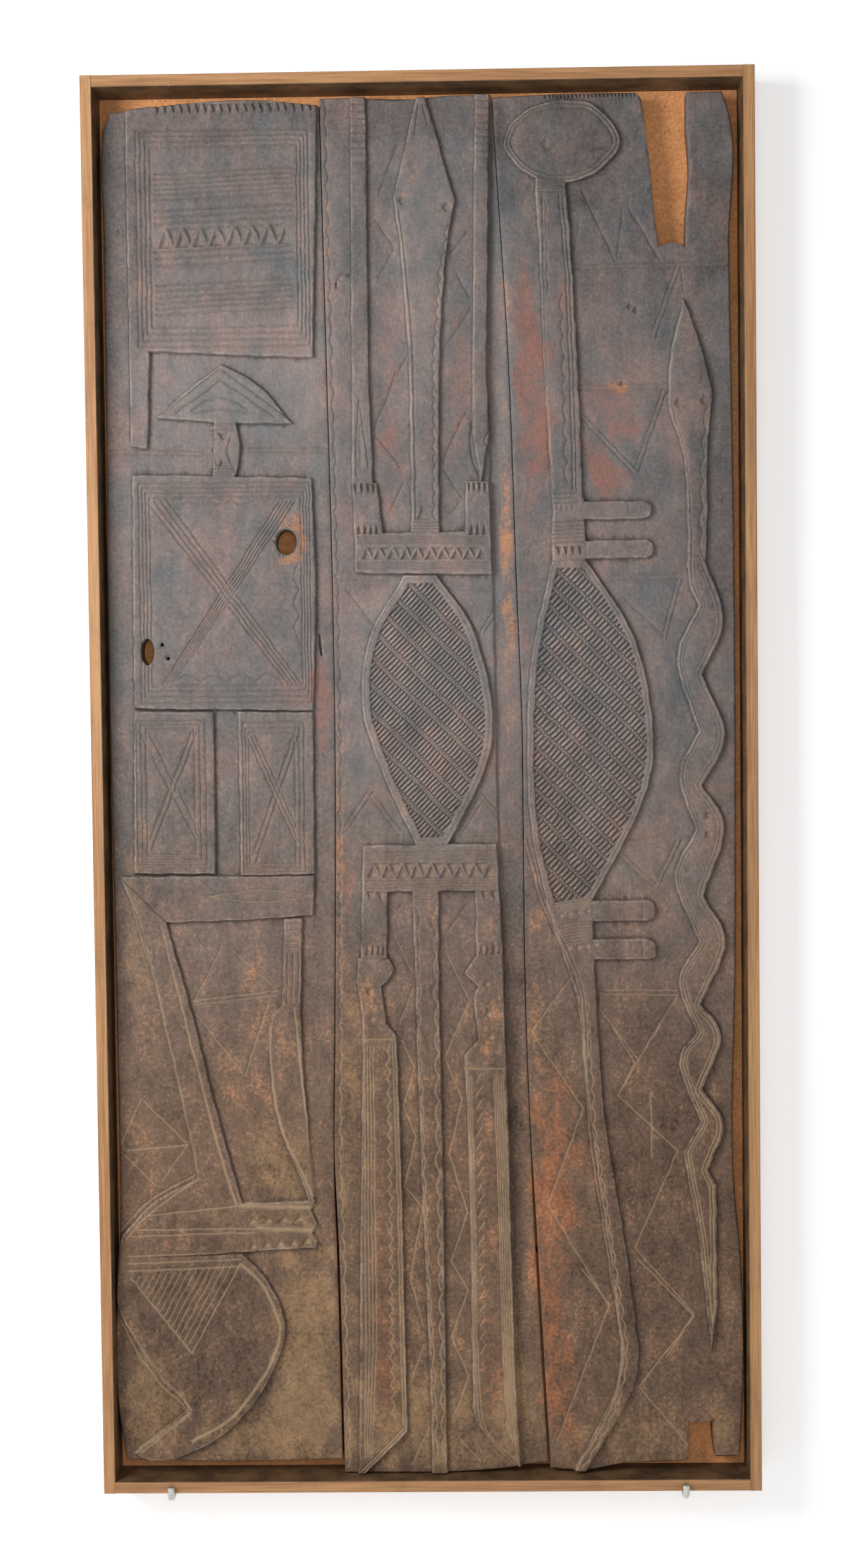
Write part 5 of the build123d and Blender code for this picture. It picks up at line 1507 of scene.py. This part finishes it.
backdrop("wall", [
    (-WALL_HALF_WIDTH, 0.0005, FLOOR_Z), (WALL_HALF_WIDTH, 0.0005, FLOOR_Z),
    (WALL_HALF_WIDTH, 0.0005, WALL_TOP), (-WALL_HALF_WIDTH, 0.0005, WALL_TOP),
])
backdrop("floor", [
    (-WALL_HALF_WIDTH, -FLOOR_DEPTH, FLOOR_Z), (WALL_HALF_WIDTH, -FLOOR_DEPTH, FLOOR_Z),
    (WALL_HALF_WIDTH, 0.0, FLOOR_Z), (-WALL_HALF_WIDTH, 0.0, FLOOR_Z),
])


def soft_lamp(name, place, target, size, power):
    """A square area lamp that faces a target."""
    light = bpy.data.lights.new(name, "AREA")
    light.size = size
    light.energy = power
    lamp = bpy.data.objects.new(name, light)
    lamp.location = place
    lamp.rotation_euler = (Vector(target) - Vector(place)).to_track_quat("-Z", "Y").to_euler()
    bpy.context.scene.collection.objects.link(lamp)
    return lamp


soft_lamp("key", (-1.5, -1.7, 0.7), (0, 0, 0), 1.0, 42)
soft_lamp("fill", (2.2, -2.6, 0.4), (0, 0, 0), 2.4, 8)
soft_lamp("front", (0.1, -3.1, 0.2), (0, 0, 0), 0.8, 14)
world = bpy.data.worlds.new("studio")
world.use_nodes = True
world.node_tree.nodes["Background"].inputs["Color"].default_value = (1.0, 1.0, 1.0, 1.0)
world.node_tree.nodes["Background"].inputs["Strength"].default_value = 0.27
bpy.context.scene.world = world

# %% [markdown]
# ## The camera
# The photograph was taken from a little right of and above the middle, almost level. The three angles and the
# distance were fitted to the tray's four corners.

# %% Camera
IMAGE_WIDTH, IMAGE_HEIGHT = 1344, 2480
FOCAL_PIXELS = 3478
SENSOR_HEIGHT = 36.0
CAMERA_PLACE = Vector((0.052, -2.875, 0.123))
CAMERA_ANGLES = [math.radians(angle) for angle in (2.348, -0.652, -1.014)]


def camera():
    """The photograph's camera: level along +Y, then turned by three small angles."""
    data = bpy.data.cameras.new("camera")
    data.sensor_fit = "VERTICAL"
    data.sensor_height = SENSOR_HEIGHT
    data.lens = SENSOR_HEIGHT * FOCAL_PIXELS / IMAGE_HEIGHT
    data.clip_end = 50
    piece = bpy.data.objects.new("camera", data)
    turns = [Matrix.Rotation(angle, 3, axis) for angle, axis in zip(CAMERA_ANGLES, "XYZ")]
    to_camera = turns[0] @ turns[1] @ turns[2]
    level = Matrix.Rotation(math.radians(90), 3, "X")
    piece.matrix_world = Matrix.Translation(CAMERA_PLACE) @ (to_camera.transposed() @ level).to_4x4()
    bpy.context.scene.collection.objects.link(piece)
    bpy.context.scene.camera = piece
    return to_camera


to_camera = camera()
half_x, half_z = CAD_BOX[1].x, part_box("frame_stile_left")[1].z
for side, end in ((-1, 1), (1, 1), (1, -1), (-1, -1)):
    seen = to_camera @ (Vector((side * half_x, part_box("frame_stile_left")[0].y, end * half_z)) - CAMERA_PLACE)
    print("tray corner at pixel", round(IMAGE_WIDTH / 2 + FOCAL_PIXELS * seen.x / seen.y),
          round(IMAGE_HEIGHT / 2 - FOCAL_PIXELS * seen.z / seen.y))

# %% View transform
bpy.context.scene.view_settings.view_transform = "Standard"
